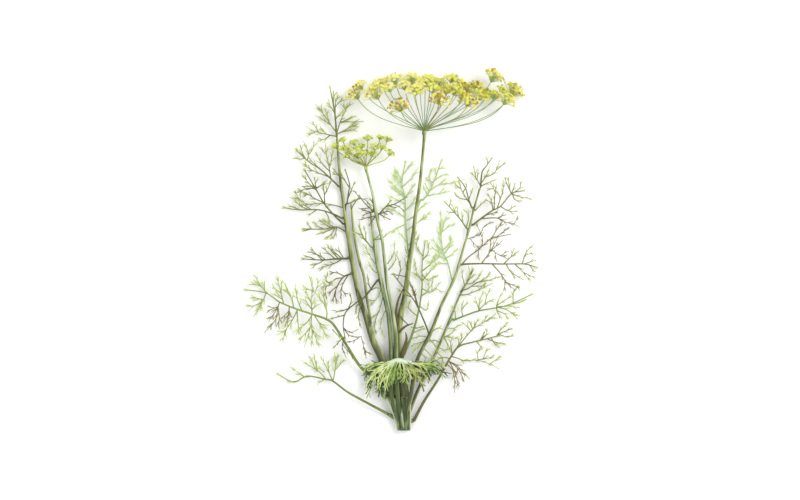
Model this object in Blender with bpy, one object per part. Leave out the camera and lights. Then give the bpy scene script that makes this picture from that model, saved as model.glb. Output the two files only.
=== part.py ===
"""A cut dill bunch lying on a surface: one plant with its stems, feathery leaves and two umbels.

The bunch lies along Y, cut end at -Y and flower heads at +Y, Z up from the surface it lies on.
Routes are written in millimetres as (x, y, z) and turned into metres when a mesh is made.
"""

import math
import random

import bpy
from mathutils import Matrix, Vector

MM = 0.001
STEM_SIDES = 8  # flats round a stem
STALK_SIDES = 3  # flats round a leaf stalk
PINNA_SIDES = 3  # flats round a leaf segment
RAY_SIDES = 6  # flats round an umbel ray and its umbellet
STEM_STEPS = 1  # rings between two points of a stem's route
STALK_STEPS = 1  # the same for a leaf stalk
LEAF_THIN = 0.32  # radius of a leaf segment's tip
SURFACE = 0.45  # lowest centre line of anything that lies on the surface

CROWN_RINGS = (  # (x, y, half width, half height)
    (11.5, -180.0, 6.6, 6.3),
    (11.0, -176.0, 7.4, 7.0),
    (9.4, -164.0, 9.4, 8.0),
    (7.0, -153.0, 12.0, 8.8),
    (5.6, -147.0, 13.2, 9.0),
)
PITH_RADIUS, PITH_DEPTH = 2.6, 1.2  # the soft middle of the cut, sunk a little

HUB = Vector((31.6, 118.0, 25.0))  # where the rays of the large umbel spring from
HUB_RADIUS = 3.9
LEAST_SPREAD = 0.30  # smallest angle between two rays at the hub, in radians
SMALL_HUB = Vector((-26.6, 82.5, 12.5))

# name: ((x, y, z, radius), ...)
STEMS = {
    "stem_main": (
        (11.3, -144.9, 6.8, 5.5), (8.0, -130, 7.0, 5.1), (5.4, -113, 7.2, 4.7),
        (4.8, -95, 7.4, 4.1), (7.4, -69, 8, 3.3), (12.5, -45, 8.5, 2.8), (16.2, -16, 9, 2.5),
        (20, 9, 9.5, 2.2), (23, 35, 11.5, 1.9), (27, 64, 15, 1.65), (30, 93, 20, 1.5),
        (31.4, 111, 23.8, 1.5), (31.6, 115.5, 24.7, 2.2),
    ),
    "stem_left": (
        (-1.2, -145.9, 6, 4.7), (-5.2, -124, 5.8, 4.3), (-11.0, -108, 5.4, 3.8),
        (-19.5, -90, 5, 3.3), (-27.0, -65, 4.6, 2.8), (-32.8, -49, 4.4, 2.5),
        (-37.8, -26, 4.2, 2.3), (-42.8, 4, 4, 2.1), (-46.5, 30, 4.2, 1.8),
        (-49.5, 51, 4.6, 1.6), (-52.5, 75, 5, 1.4), (-54.6, 100, 5.6, 1.2), (-55.2, 111, 6, 1.1),
    ),
    "stem_small_umbel": (
        (5.2, -146.4, 15.0, 2.2), (3.6, -115, 15.2, 2.2), (3.0, -85, 14.8, 2.1),
        (0.6, -65, 13.8, 1.9), (-2.5, -49, 12.8, 1.8), (-5.5, -33, 11.5, 1.7),
        (-8, -10, 10, 1.6), (-10.5, 11, 9.5, 1.5), (-14.5, 27, 9.5, 1.45), (-19.5, 54, 10, 1.35),
        (-23.5, 70, 11, 1.3), (-26.3, 80.5, 12.2, 1.5),
    ),
    "stem_middle": (
        (-0.8, -146.4, 13.8, 2.1), (-1.8, -115, 13.2, 2.1), (-1.9, -90, 11, 2.1),
        (-4.2, -65, 8, 2.1), (-8.4, -45, 6, 2.1), (-12.6, -26, 5, 1.95), (-15.5, -12, 4.6, 1.8),
        (-18.2, 9, 4.4, 1.6), (-21.0, 30, 4.4, 1.2),
    ),
    "stem_left_thin": (
        (-21.6, -72, 8.6, 1.2), (-25.6, -48, 7.2, 1.4), (-28.6, -26, 6, 1.4),
        (-33.4, -10, 5, 1.35), (-38.4, 16, 4, 1.25), (-40.8, 40, 5, 1.0),
    ),
    "stem_right": (
        (17.8, -146.4, 13.8, 2.0), (23.8, -113, 12, 1.9), (29.5, -99, 10, 1.85),
        (37.5, -84, 8, 1.75), (43.5, -69, 7, 1.65), (49.5, -54, 6.5, 1.5), (56.5, -40, 6, 1.4),
        (62, -28, 6, 1.35), (66.5, -14, 6, 1.3), (71.5, 4, 6.5, 1.2), (76.5, 20.5, 7, 1.1),
        (80.8, 39, 8, 1.0), (87.0, 61, 9, 0.9),
    ),
    "stem_right_second": (
        (21.4, -150, 8, 1.6), (28, -134, 7, 1.5), (37.5, -116, 5.5, 1.4), (48.5, -91, 4.5, 1.3),
        (58.5, -67, 4, 1.2), (66.5, -47, 3.6, 1.0), (73.0, -35, 3.4, 0.9), (78.0, -25, 3.2, 0.75),
    ),
}

# name: (stalk route, radius at the foot, (fraction along, tip x, y, z) of each drawn pinna,
#        (how many further pairs, their length, their angle), length of the finest segments)
LEAVES = {
    "leaf_left_top": (
        ((-55.8, 113.4, 6.2), (-57.5, 136, 9), (-60, 150, 10), (-62, 160, 9)), 1.1,
        ((0.10, -77.5, 146, 12), (0.14, -87.5, 124, 6), (0.2, -30.5, 128, 7),
         (0.3, -36.5, 134, 12), (0.42, -44.5, 147, 14), (0.55, -65, 148, 7),
         (0.66, -49, 152, 12)), (1, 10, 30), 6,
    ),
    "leaf_left_a": (
        ((-53.9, 63.5, 5), (-61.5, 71, 10), (-71.5, 80, 13), (-83.5, 88, 10), (-93.5, 97, 4)),
        1.0,
        ((0.24, -67, 107, 13), (0.34, -77, 98, 15), (0.42, -90, 86.5, 9), (0.72, -89, 109, 9),
         (0.68, -79, 107, 13), (0.82, -99, 91, 5)), (0, 0, 0), 6,
    ),
    "leaf_left_b": (
        ((-49.2, 26.0, 7.4), (-59.5, 36, 14), (-68.5, 47, 17), (-76.5, 61, 15),
         (-86.5, 77.5, 8)), 1.0,
        ((0.46, -90, 54, 14), (0.5, -69.5, 68, 19), (0.4, -60.5, 64, 18), (0.74, -91, 72, 10),
         (0.7, -76.5, 75, 19), (0.7, -96.5, 60, 10)), (0, 0, 0), 6,
    ),
    "leaf_left_c": (
        ((-50.4, 31.5, 4.4), (-59.5, 36, 6), (-73.5, 40, 8), (-93.5, 40, 6), (-106.5, 42, 2)),
        1.0,
        ((0.28, -62, 25, 7), (0.42, -84, 33, 5), (0.52, -103, 52, 5), (0.4, -86, 47, 9),
         (0.66, -98, 58, 4), (0.78, -105, 35, 3)), (0, 0, 0), 6,
    ),
    "leaf_left_d": (
        ((-48.2, 19, 3.4), (-56, 23, 3), (-68.5, 21, 2), (-87, 21, 1.2)), 0.8,
        ((0.2, -70, 30, 4), (0.5, -83, 29, 1.4), (0.28, -77, 14, 1.6), (0.2, -67, 10, 2.6),
         (0.12, -57.5, 11, 3)), (0, 0, 0), 5,
    ),
    "leaf_left_e": (
        ((-45.0, -8.5, 5), (-57, -9, 10), (-70, -10, 11), (-87.5, -9, 6)), 1.0,
        ((0.1, -54, 1, 9), (0.26, -68, 4, 13), (0.52, -85, 1, 9), (0.3, -74, -19, 7),
         (0.6, -83, -17, 8)), (0, 0, 0), 6,
    ),
    "leaf_left_fork": (
        ((-45.6, 46, 6.5), (-44, 56, 10), (-43, 66, 12), (-46.5, 78, 10)), 0.8,
        ((0.3, -36.5, 69, 11), (0.5, -52, 70, 15), (0.7, -38, 78, 13)), (0, 0, 0), 5,
    ),
    "leaf_left_droop": (
        ((-41.8, -24, 6), (-49, -27, 9), (-55.5, -37, 7), (-59, -48, 3)), 0.9,
        ((0.2, -63, -22, 10), (0.3, -50.5, -53, 10), (0.55, -65, -43, 5), (0.3, -46, -44, 13)),
        (0, 0, 0), 5,
    ),
    "leaf_left_big": (
        ((-9.6, -145, 8), (-14.8, -131, 8), (-31.5, -117, 10), (-44.5, -97, 13),
         (-57.5, -76, 15), (-65.8, -69, 15), (-79.9, -64, 14), (-96.5, -58.5, 12),
         (-112.5, -52, 9), (-126.5, -43, 5), (-144.5, -40, 2)), 2.0,
        ((0.5, -72, -44, 18), (0.5, -76, -92, 8), (0.62, -90, -36, 15), (0.62, -92, -86, 7),
         (0.74, -108, -34, 12), (0.72, -106, -78, 5), (0.84, -124, -28, 8),
         (0.84, -122, -64, 3), (0.42, -62, -98, 12)), (0, 0, 0), 7,
    ),
    "leaf_left_curl": (
        ((-15.6, -31, 8.6), (-27.5, -46.6, 14), (-35.5, -52, 15), (-46.5, -62, 17.5),
         (-49, -74, 19.5), (-47.5, -86, 19)), 1.0,
        ((0.7, -56, -74, 20), (0.8, -40, -82, 18), (0.6, -38, -66, 15)), (0, 0, 0), 5,
    ),
    "leaf_left_low": (
        ((-4.2, -164, 5), (-24.5, -153, 7), (-44.5, -142, 7), (-59.5, -131, 6),
         (-67.9, -129, 5), (-85.5, -126, 4), (-98.5, -132, 3), (-112.9, -125, 1.2)), 1.5,
        ((0.5, -57.5, -102, 5), (0.52, -48.5, -109.5, 8), (0.62, -71.5, -105, 5),
         (0.66, -78.5, -102, 4), (0.75, -91.8, -109.5, 3), (0.8, -102.5, -116.5, 2),
         (0.88, -104, -138, 1.2)), (0, 0, 0), 6,
    ),
    "leaf_right_tip": (
        ((88.0, 63.6, 9.4), (89.1, 77, 13), (93, 83, 14), (98, 90, 13)), 0.9,
        ((0.1, 81.5, 76, 12), (0.35, 105.5, 74, 11), (0.5, 99, 82.4, 17), (0.6, 113.5, 88, 14),
         (0.7, 107, 91, 10), (0.75, 90, 90, 12)), (0, 0, 0), 5,
    ),
    "leaf_right_upper": (
        ((79.0, 42, 9.4), (76, 50, 13), (72.5, 62, 15), (66, 71, 12)), 0.8,
        ((0.4, 62, 58, 12), (0.6, 78, 66, 16)), (1, 8, 50), 5,
    ),
    "leaf_right_fork": (
        ((80.2, 25, 7.2), (90.5, 33, 12), (99, 39, 15), (107.5, 43.5, 16), (118.5, 56, 12),
         (129.5, 59, 6)), 1.0,
        ((0.25, 114.5, 27, 9), (0.28, 127, 22, 5), (0.3, 94, 50, 15), (0.6, 108, 54, 17),
         (0.68, 122.5, 66, 9), (0.74, 124, 48, 8), (0.5, 105, 34, 13)), (0, 0, 0), 6,
    ),
    "leaf_right_left": (
        ((73.8, 21.5, 8), (68, 30, 12), (58.5, 41, 13), (53.0, 47, 9)), 0.8, (),
        (3, 11, 50), 5,
    ),
    "leaf_right_side": (
        ((69.0, -14.6, 6), (74, -14, 9), (88.5, -13.6, 14), (110.5, -14, 15), (131.5, -14, 9),
         (142.5, -17, 3)), 1.1,
        ((0.1, 88, 4, 8), (0.3, 98.5, 0, 15), (0.36, 105, 13, 13), (0.42, 110.5, -29, 10),
         (0.5, 125.5, -38, 3), (0.62, 131.5, -23, 7), (0.6, 121, 2, 12), (0.75, 134, -3, 7)),
        (0, 0, 0), 6,
    ),
    "leaf_right_inner": (
        ((59.0, -29, 5), (55, -12, 3), (50.5, -2, 2.6), (48.5, 14, 2), (47.5, 25, 1.2)), 0.8,
        (), (5, 13, 48), 6,
    ),
    "leaf_right_mid": (
        ((67.8, -41.2, 6.4), (76, -38, 9), (83, -33, 9), (90, -31, 7)), 0.7, (),
        (2, 9, 48), 5,
    ),
    "leaf_right_fan": (
        ((61.0, -70, 5), (68.5, -67, 8), (85, -61, 11), (103.5, -57.6, 11), (118, -54, 7),
         (137.5, -45, 2)), 1.0,
        ((0.3, 90.5, -45, 14), (0.34, 98.5, -40, 10), (0.42, 101, -50, 15), (0.55, 120, -44, 8),
         (0.6, 127.5, -64, 4), (0.5, 112, -68, 7)), (0, 0, 0), 6,
    ),
    "leaf_right_low": (
        ((21.5, -170, 5), (31.5, -151, 7), (45.5, -129, 9), (58.5, -106, 11), (66.5, -96, 12),
         (79.5, -79.5, 10), (90.5, -74, 7), (104.5, -70, 3)), 1.7,
        ((0.56, 78, -110, 10), (0.58, 97.5, -114.5, 6), (0.6, 108.5, -106, 4),
         (0.66, 90, -91, 12), (0.7, 103.5, -85, 8), (0.72, 115.5, -77, 3),
         (0.5, 77.5, -129, 5), (0.44, 62.5, -143, 3), (0.36, 60, -112, 13)), (0, 0, 0), 6,
    ),
    "leaf_back_left": (
        ((15.4, -1, 4.6), (13.1, 26, 2.4), (12.5, 51, 2.2), (9.5, 67, 2), (12.5, 86, 1.4)),
        0.9, (), (7, 17, 46), 7,
    ),
    "leaf_back_right": (
        ((30.6, 50, 8), (35.5, 56, 5), (41, 67, 3), (48.5, 88, 1.4)), 0.8,
        ((0.3, 64.5, 74, 2), (0.2, 74, 70, 3.4), (0.5, 60, 84, 1)), (1, 10, 45), 6,
    ),
    "leaf_small_left": (
        ((-19.3, 37.8, 9.6), (-23, 42, 12), (-28, 47, 12), (-32.5, 53, 9)), 0.7,
        ((0.2, -27, 37, 9), (0.5, -32, 43, 14)), (0, 0, 0), 4,
    ),
    "leaf_small_right": (
        ((-13.0, 36, 9.6), (-6.5, 43, 12), (2.5, 46, 13), (12.5, 52, 10)), 0.7,
        ((0.15, -4.5, 31, 9), (0.45, -4, 50, 15), (0.6, 11, 41, 11)), (0, 0, 0), 4,
    ),
    "leaf_inner": (
        ((33.4, -79, 10.6), (30, -66, 14), (21.5, -50, 16), (10, -36, 17), (1.5, -25.5, 16)),
        0.9, ((0.5, 24, -34, 15), (0.75, 0, -38, 19), (0.8, 12, -24, 15)), (0, 0, 0), 5,
    ),
    "leaf_inner_right": (
        ((13.6, -76, 9), (25.5, -60, 7), (29.5, -36, 5), (29.5, -16, 3.4), (32.5, 7, 2)), 0.9,
        ((0.6, 44.5, -14, 3),), (4, 11, 45), 5,
    ),
    "leaf_shoot": (
        ((-22.0, 3, 6), (-26, 9, 9), (-30, 14, 10), (-33, 22, 8)), 0.7,
        ((0.3, -33, 8, 9), (0.5, -24, 20, 11)), (0, 0, 0), 4,
    ),
}

# (x, y, z, radius, bow) of each umbellet of the large umbel; bow is how far its ray sags outward
UMBELLETS = (
    (-38.5, 156.5, 14, 8.0, 9), (-18.5, 158, 36, 10.5, 9), (1.5, 171, 20, 7.5, 4),
    (18.5, 172, 9, 7.5, 2), (32.5, 169, 30, 7.5, 0), (46.5, 167, 10, 7.5, 1),
    (59.5, 171, 28, 6.5, 2), (62.5, 159, 48, 7.5, 3), (76.5, 162, 16, 8.0, 3),
    (88.5, 154, 39, 7.5, 5), (95.5, 156, 12, 7.5, 6), (101.5, 174, 27, 7.0, 4),
    (114.5, 150, 33, 8.0, 8), (122.5, 160, 11, 9.0, 10), (6.1, 143, 62, 8.5, 4),
    (46.5, 149, 75, 8.5, 0), (76.5, 147, 63, 8.0, 3), (22, 158, 57, 7.0, 1),
    (-12, 168, 11, 7.5, 6), (40, 160, 53, 6.5, 0),
)
# (x, y, z, radius) of each umbellet of the small umbel
SMALL_UMBELLETS = (
    (-58, 104, 12, 3.6), (-50, 110, 17, 4.0), (-43.5, 100, 22, 4.6), (-38.5, 108, 9, 4.4),
    (-24.5, 112, 13, 4.6), (-17, 103, 24, 5.0), (-4.5, 111, 10, 4.6), (-1.5, 97, 19, 5.0),
    (-27.5, 97, 27, 5.0), (-12, 112, 20, 3.6),
)

# (x, y, z) of each leaflet tip of the drooping tuft, and where it springs from
TUFT_FOOT = ((9.4, -107, 16.6), (10.2, -111, 20.5), (10.4, -115, 23.0), (10.2, -118.5, 23.4))
TUFT_TIPS = (
    (-28, -124, 12), (-22, -134, 13), (-15, -141, 17), (-6, -146, 21), (3, -148, 22.5),
    (12, -151, 23), (21, -147, 21), (31, -144, 17), (40, -137, 15), (49, -129, 15),
    (54, -120, 17), (-24, -113, 14), (34, -121, 16), (-14, -128, 19), (24, -134, 20),
)

GREEN_DARK = (0.10, 0.15, 0.03)
GREEN_MID = (0.19, 0.27, 0.06)
GREEN_PALE = (0.36, 0.47, 0.24)
GREEN_YELLOW = (0.42, 0.52, 0.10)
FLOWER_YELLOW = (0.74, 0.62, 0.07)
FLOWER_LIME = (0.50, 0.54, 0.07)


def clear_scene():
    for obj in list(bpy.data.objects):
        bpy.data.objects.remove(obj, do_unlink=True)


def material(name, colour, roughness):
    made = bpy.data.materials.new(name)
    made.use_nodes = True
    shader = made.node_tree.nodes["Principled BSDF"]
    shader.inputs["Base Color"].default_value = (*colour, 1.0)
    shader.inputs["Roughness"].default_value = roughness
    shader.inputs["Metallic"].default_value = 0.0
    return made


def smooth_route(points, steps):
    """A Catmull-Rom curve through the points; each point may carry a radius as its last value."""
    ends = [points[0], *points, points[-1]]
    found = []
    for a, b, c, d in zip(ends, ends[1:], ends[2:], ends[3:]):
        for k in range(steps):
            t = k / steps
            found.append(tuple(
                0.5 * (2 * q + (r - p) * t + (2 * p - 5 * q + 4 * r - s) * t * t
                       + (3 * q - p - 3 * r + s) * t * t * t)
                for p, q, r, s in zip(a, b, c, d)
            ))
    found.append(tuple(points[-1]))
    return found


def tube(route, sides, flat=1.0, turn=0.0):
    """A closed tube along (x, y, z, radius) points; flat squeezes its height."""
    centres = [Vector(p[:3]) for p in route]
    verts, faces = [], []
    side = None
    for i, centre in enumerate(centres):
        ahead = (centres[min(i + 1, len(centres) - 1)] - centres[max(i - 1, 0)]).normalized()
        if side is None:
            side = ahead.cross(Vector((0, 0, 1)))
            if side.length < 0.1:
                side = ahead.cross(Vector((0, 1, 0)))
        side = (side - ahead * side.dot(ahead)).normalized()
        up = side.cross(ahead) * -1
        for k in range(sides):
            angle = turn + 2 * math.pi * k / sides
            verts.append(
                centre + route[i][3] * (math.cos(angle) * side + math.sin(angle) * flat * up)
            )
    for i in range(len(centres) - 1):
        for k in range(sides):
            a, b = i * sides + k, i * sides + (k + 1) % sides
            faces.append((a, b, b + sides, a + sides))
    faces.append(tuple(reversed(range(sides))))
    faces.append(tuple(range(len(verts) - sides, len(verts))))
    return verts, faces


def mesh_object(name, shells):
    verts, faces = [], []
    for shell_verts, shell_faces in shells:
        first = len(verts)
        verts += [tuple(v * MM) for v in shell_verts]
        faces += [tuple(first + i for i in face) for face in shell_faces]
    mesh = bpy.data.meshes.new(name)
    mesh.from_pydata(verts, [], faces)
    mesh.update()
    obj = bpy.data.objects.new(name, mesh)
    bpy.context.scene.collection.objects.link(obj)
    return obj


def piece(name, shells, colour, roughness=0.6):
    """One node: its first shell, with any others united into it."""
    obj = mesh_object(name, shells[:1])
    obj.data.materials.append(material(name, colour, roughness))
    if len(shells) > 1:
        others = mesh_object(name + "_branches", shells[1:])
        others.hide_render = True
        others.display_type = "WIRE"
        union = obj.modifiers.new("branches", "BOOLEAN")
        union.operation = "UNION"
        union.solver = "EXACT"
        union.use_self = True
        union.object = others
    return obj


def point_on(route, fraction):
    place = fraction * (len(route) - 1)
    i = min(int(place), len(route) - 2)
    a, b = Vector(route[i][:3]), Vector(route[i + 1][:3])
    return a.lerp(b, place - i), (b - a).normalized()


def turned(direction, degrees):
    return Matrix.Rotation(math.radians(degrees), 3, "Z") @ direction


def pinna(start, end, fine, rng):
    """A bowed leaf branch with finer segments to both sides."""
    span = end - start
    across = Vector((-span.y, span.x, 0)).normalized()
    middle = start.lerp(end, 0.5) + across * rng.uniform(-0.08, 0.08) * span.length
    middle.z += 0.04 * span.length
    route = [(*start, 0.52), (*middle, 0.46), (*end, LEAF_THIN)]
    if span.length < 16:
        route = [route[0], route[2]]
    shells = [tube(route, PINNA_SIDES, turn=rng.uniform(0, 1))]
    count = max(1, round(span.length / 12))
    for k in range(count):
        way = 1 if k % 2 else -1
        fraction = 0.32 + 0.5 * k / count
        foot, ahead = point_on(route, fraction)
        heading = turned(ahead, way * rng.uniform(35, 50))
        tip = foot + heading * fine * (1.15 - 0.5 * fraction) * rng.uniform(0.85, 1.1)
        tip.z = max(SURFACE, tip.z + rng.uniform(-0.5, 0.8))
        shells.append(
            tube([(*foot, 0.4), (*tip, LEAF_THIN)], PINNA_SIDES, turn=rng.uniform(0, 1))
        )
    return shells


def leaf(name, stalk, foot_radius, tips, pairs, fine, colour):
    rng = random.Random(len(name) * 31 + ord(name[-1]))
    route = smooth_route(stalk, STALK_STEPS)
    last = len(route) - 1
    route = [
        (*p, foot_radius + (0.45 - foot_radius) * (i / last) ** 0.7) for i, p in enumerate(route)
    ]
    shells = [tube(route, STALK_SIDES, turn=0.3)]
    for fraction, x, y, z in tips:
        foot, _ = point_on(route, fraction)
        shells += pinna(foot, Vector((x, y, z)), fine, rng)
    count, length, angle = pairs
    for k in range(count):
        for way in (-1, 1):
            fraction = 0.28 + 0.62 * (k + 0.2 * (way > 0)) / max(count - 0.5, 1)
            foot, ahead = point_on(route, fraction)
            reach = length * (1.2 - 0.75 * abs(fraction - 0.35)) * rng.uniform(0.85, 1.1)
            heading = turned(ahead, way * (angle - 10 * fraction) * rng.uniform(0.9, 1.1))
            end = foot + Vector((heading.x, heading.y, 0)).normalized() * reach
            end.z = max(SURFACE, foot.z + rng.uniform(-0.8, 0.6))
            shells += pinna(foot, end, fine, rng)
    piece(name, shells, colour)


def crown():
    sides = 16
    verts, faces = [], []
    for x, y, half_width, half_height in CROWN_RINGS:
        for k in range(sides):
            angle = 2 * math.pi * k / sides
            verts.append(Vector((
                x + half_width * math.cos(angle), y, half_height + half_height * math.sin(angle)
            )))
    for i in range(len(CROWN_RINGS) - 1):
        for k in range(sides):
            a, b = i * sides + k, i * sides + (k + 1) % sides
            faces.append((a, a + sides, b + sides, b))
    # the cut: a ring of rind round a sunk pith
    x, y, _, half_height = CROWN_RINGS[0]
    rim = len(verts)
    for depth in (0.0, PITH_DEPTH):
        for k in range(sides):
            angle = 2 * math.pi * k / sides
            verts.append(Vector((
                x + PITH_RADIUS * math.cos(angle), y + depth,
                half_height + PITH_RADIUS * math.sin(angle)
            )))
    for k in range(sides):
        b = (k + 1) % sides
        faces.append((k, b, rim + b, rim + k))
        faces.append((rim + k, rim + b, rim + sides + b, rim + sides + k))
    faces.append(tuple(rim + sides + k for k in range(sides)))
    top = (len(CROWN_RINGS) - 1) * sides
    faces.append(tuple(reversed([top + k for k in range(sides)])))
    piece("crown", [(verts, faces)], GREEN_DARK, 0.7)


def spread(headings):
    """The headings moved apart until no two are closer than LEAST_SPREAD."""
    headings = [h.normalized() for h in headings]
    for _ in range(200):
        for i, first in enumerate(headings):
            for j in range(i + 1, len(headings)):
                apart = headings[j] - first
                if apart.length < LEAST_SPREAD:
                    push = apart.normalized() * (LEAST_SPREAD - apart.length) * 0.5
                    headings[j] = (headings[j] + push).normalized()
                    first = headings[i] = (first - push).normalized()
    return headings


def umbellet_route(foot, heading, centre, radius):
    """A ray that ends in a shallow cup of flowers, as one route with a changing radius."""
    reach = (centre - foot).length
    axis = (centre - foot).normalized().lerp(Vector((0, 1, 0.15)), 0.45).normalized()
    neck = centre - axis * 0.95 * radius
    first, second = foot + heading * 0.35 * reach, neck - axis * 0.3 * reach
    route = []
    for k in range(4):
        t = k / 4
        place = (foot * (1 - t) ** 3 + first * (3 * t * (1 - t) ** 2)
                 + second * (3 * t * t * (1 - t)) + neck * t ** 3)
        route.append((*place, 0.42 + 0.1 * min(t * 3, 1)))
    for along, wide in ((-0.95, 0.09), (-0.45, 0.55), (0.0, 1.0), (0.25, 0.72), (0.36, 0.3)):
        route.append((*(centre + axis * along * radius), wide * radius))
    return route


def umbel():
    headings = spread([Vector((x, y - 2.2 * bow, z)) - HUB for x, y, z, _, bow in UMBELLETS])
    for number, (x, y, z, radius, _) in enumerate(UMBELLETS, 1):
        heading = headings[number - 1]
        foot = HUB + heading * HUB_RADIUS
        route = umbellet_route(foot, heading, Vector((x, y, z)), radius)
        piece(f"umbellet_{number:02d}", [tube(route, RAY_SIDES)], FLOWER_YELLOW, 0.7)


def small_umbel():
    shells = [tube([(*(SMALL_HUB - Vector((0, 1.0, 0.2))), 1.5), (*SMALL_HUB, 1.9),
                    (*(SMALL_HUB + Vector((0, 2.0, 0.6))), 1.2)], 6)]
    for x, y, z, radius in SMALL_UMBELLETS:
        centre = Vector((x, y, z))
        heading = (centre - SMALL_HUB).normalized()
        foot = SMALL_HUB + heading * 0.6
        shells.append(tube(umbellet_route(foot, heading, centre, radius), 5))
    piece("umbel_small", shells, FLOWER_LIME, 0.7)


def tuft():
    rng = random.Random(7)
    radii = (2.6, 3.0, 3.2, 1.8)
    shells = [tube([(*p, r) for p, r in zip(TUFT_FOOT, radii)], 8)]
    foot = Vector(TUFT_FOOT[2])
    for x, y, z in TUFT_TIPS:
        tip = Vector((x, y, z))
        middle = foot.lerp(tip, 0.5)
        middle.z += 3.0
        heel = foot.lerp(tip, 0.04)
        route = [(*heel, 0.9), (*middle, 0.8), (*tip, 0.4)]
        shells.append(tube(route, 4, turn=rng.uniform(0, 1)))
        for way in (-1, 1):
            ahead = (tip - middle).normalized()
            end = middle + turned(ahead, way * 32) * 9
            end.z = middle.z + (tip.z - middle.z) * 0.6
            shells.append(tube([(*middle, 0.5), (*end, LEAF_THIN)], PINNA_SIDES,
                               turn=rng.uniform(0, 1)))
    piece("leaf_tuft", shells, GREEN_YELLOW)


def main():
    clear_scene()
    crown()
    for name, route in STEMS.items():
        piece(name, [tube(smooth_route(route, STEM_STEPS), STEM_SIDES)], GREEN_MID, 0.5)
    for name, (stalk, foot_radius, tips, pairs, fine) in LEAVES.items():
        colour = GREEN_PALE if "back" in name or "inner" in name else GREEN_DARK
        leaf(name, stalk, foot_radius, tips, pairs, fine, colour)
    tuft()
    small_umbel()
    umbel()


main()
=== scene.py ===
"""Finished look of a cut dill bunch lying on a surface: ribbed stems, thread leaves and two umbels.

The bunch lies along Y, cut end at -Y and flower heads at +Y. Routes are in millimetres, as the
solid model has them, and MM turns them into metres when a mesh is made.
"""

import collections
import math
import random

import bpy
from mathutils import Matrix, Vector


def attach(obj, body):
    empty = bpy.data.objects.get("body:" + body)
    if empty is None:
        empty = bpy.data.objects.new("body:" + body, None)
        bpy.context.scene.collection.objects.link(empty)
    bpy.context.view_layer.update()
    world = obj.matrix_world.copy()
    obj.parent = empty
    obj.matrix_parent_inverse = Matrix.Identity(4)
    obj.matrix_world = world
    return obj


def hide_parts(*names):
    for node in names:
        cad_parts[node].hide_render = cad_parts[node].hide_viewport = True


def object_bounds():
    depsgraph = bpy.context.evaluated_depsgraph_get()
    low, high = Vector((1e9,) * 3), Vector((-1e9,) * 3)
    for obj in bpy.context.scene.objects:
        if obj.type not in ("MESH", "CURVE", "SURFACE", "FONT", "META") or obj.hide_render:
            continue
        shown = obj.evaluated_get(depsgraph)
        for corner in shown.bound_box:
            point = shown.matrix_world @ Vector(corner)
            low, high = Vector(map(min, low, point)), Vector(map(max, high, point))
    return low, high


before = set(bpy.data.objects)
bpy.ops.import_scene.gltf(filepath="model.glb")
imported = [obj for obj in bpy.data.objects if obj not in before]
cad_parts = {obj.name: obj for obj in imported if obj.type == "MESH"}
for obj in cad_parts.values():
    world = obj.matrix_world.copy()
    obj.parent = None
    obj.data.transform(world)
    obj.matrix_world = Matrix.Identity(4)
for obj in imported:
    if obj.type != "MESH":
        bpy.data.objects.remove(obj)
CAD_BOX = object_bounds()

MM = 0.001
THREAD, STALK, STRAP, FLOWER = 0.0, 1.0, 2.0, 3.0  # what a point of a piece's skeleton belongs to

CROWN_RINGS = (  # (x, y, half width, half height)
    (11.5, -180.0, 6.6, 6.3),
    (11.0, -176.0, 7.4, 7.0),
    (9.4, -164.0, 9.4, 8.0),
    (7.0, -153.0, 12.0, 8.8),
    (5.6, -147.0, 13.2, 9.0),
)
PITH_DEPTH = 1.2

HUB = Vector((31.6, 118.0, 25.0))
HUB_RADIUS = 3.9
SMALL_HUB = Vector((-26.6, 82.5, 12.5))
SMALL_HUB_RADIUS = 0.6
LEAST_SPREAD = 0.30  # closest that the unit headings of two rays may be

FLOOR_CLEARANCE = 0.5  # lowest centre line of a thread that lies on the surface
FLORET_CLEARANCE = 1.6  # lowest middle of a floret
SHEATH_LENGTH = 9.0  # how far below its joint a branch starts inside its parent
INNER_END = -172.0  # lowest place in the crown that a stalk starts from
JOINT_REACH = 3.5  # a drawn branch that starts this near to a line springs from it
STALK_TIP, BRANCH_FOOT, BRANCH_TIP = 0.48, 0.62, 0.32  # radii
RAY_STEPS = 16
GOLDEN_ANGLE = 2.39996  # spreads florets evenly over a head
THREAD_SIDES, STRAP_HEIGHT = 6, 0.42  # of the swept profiles

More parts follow.
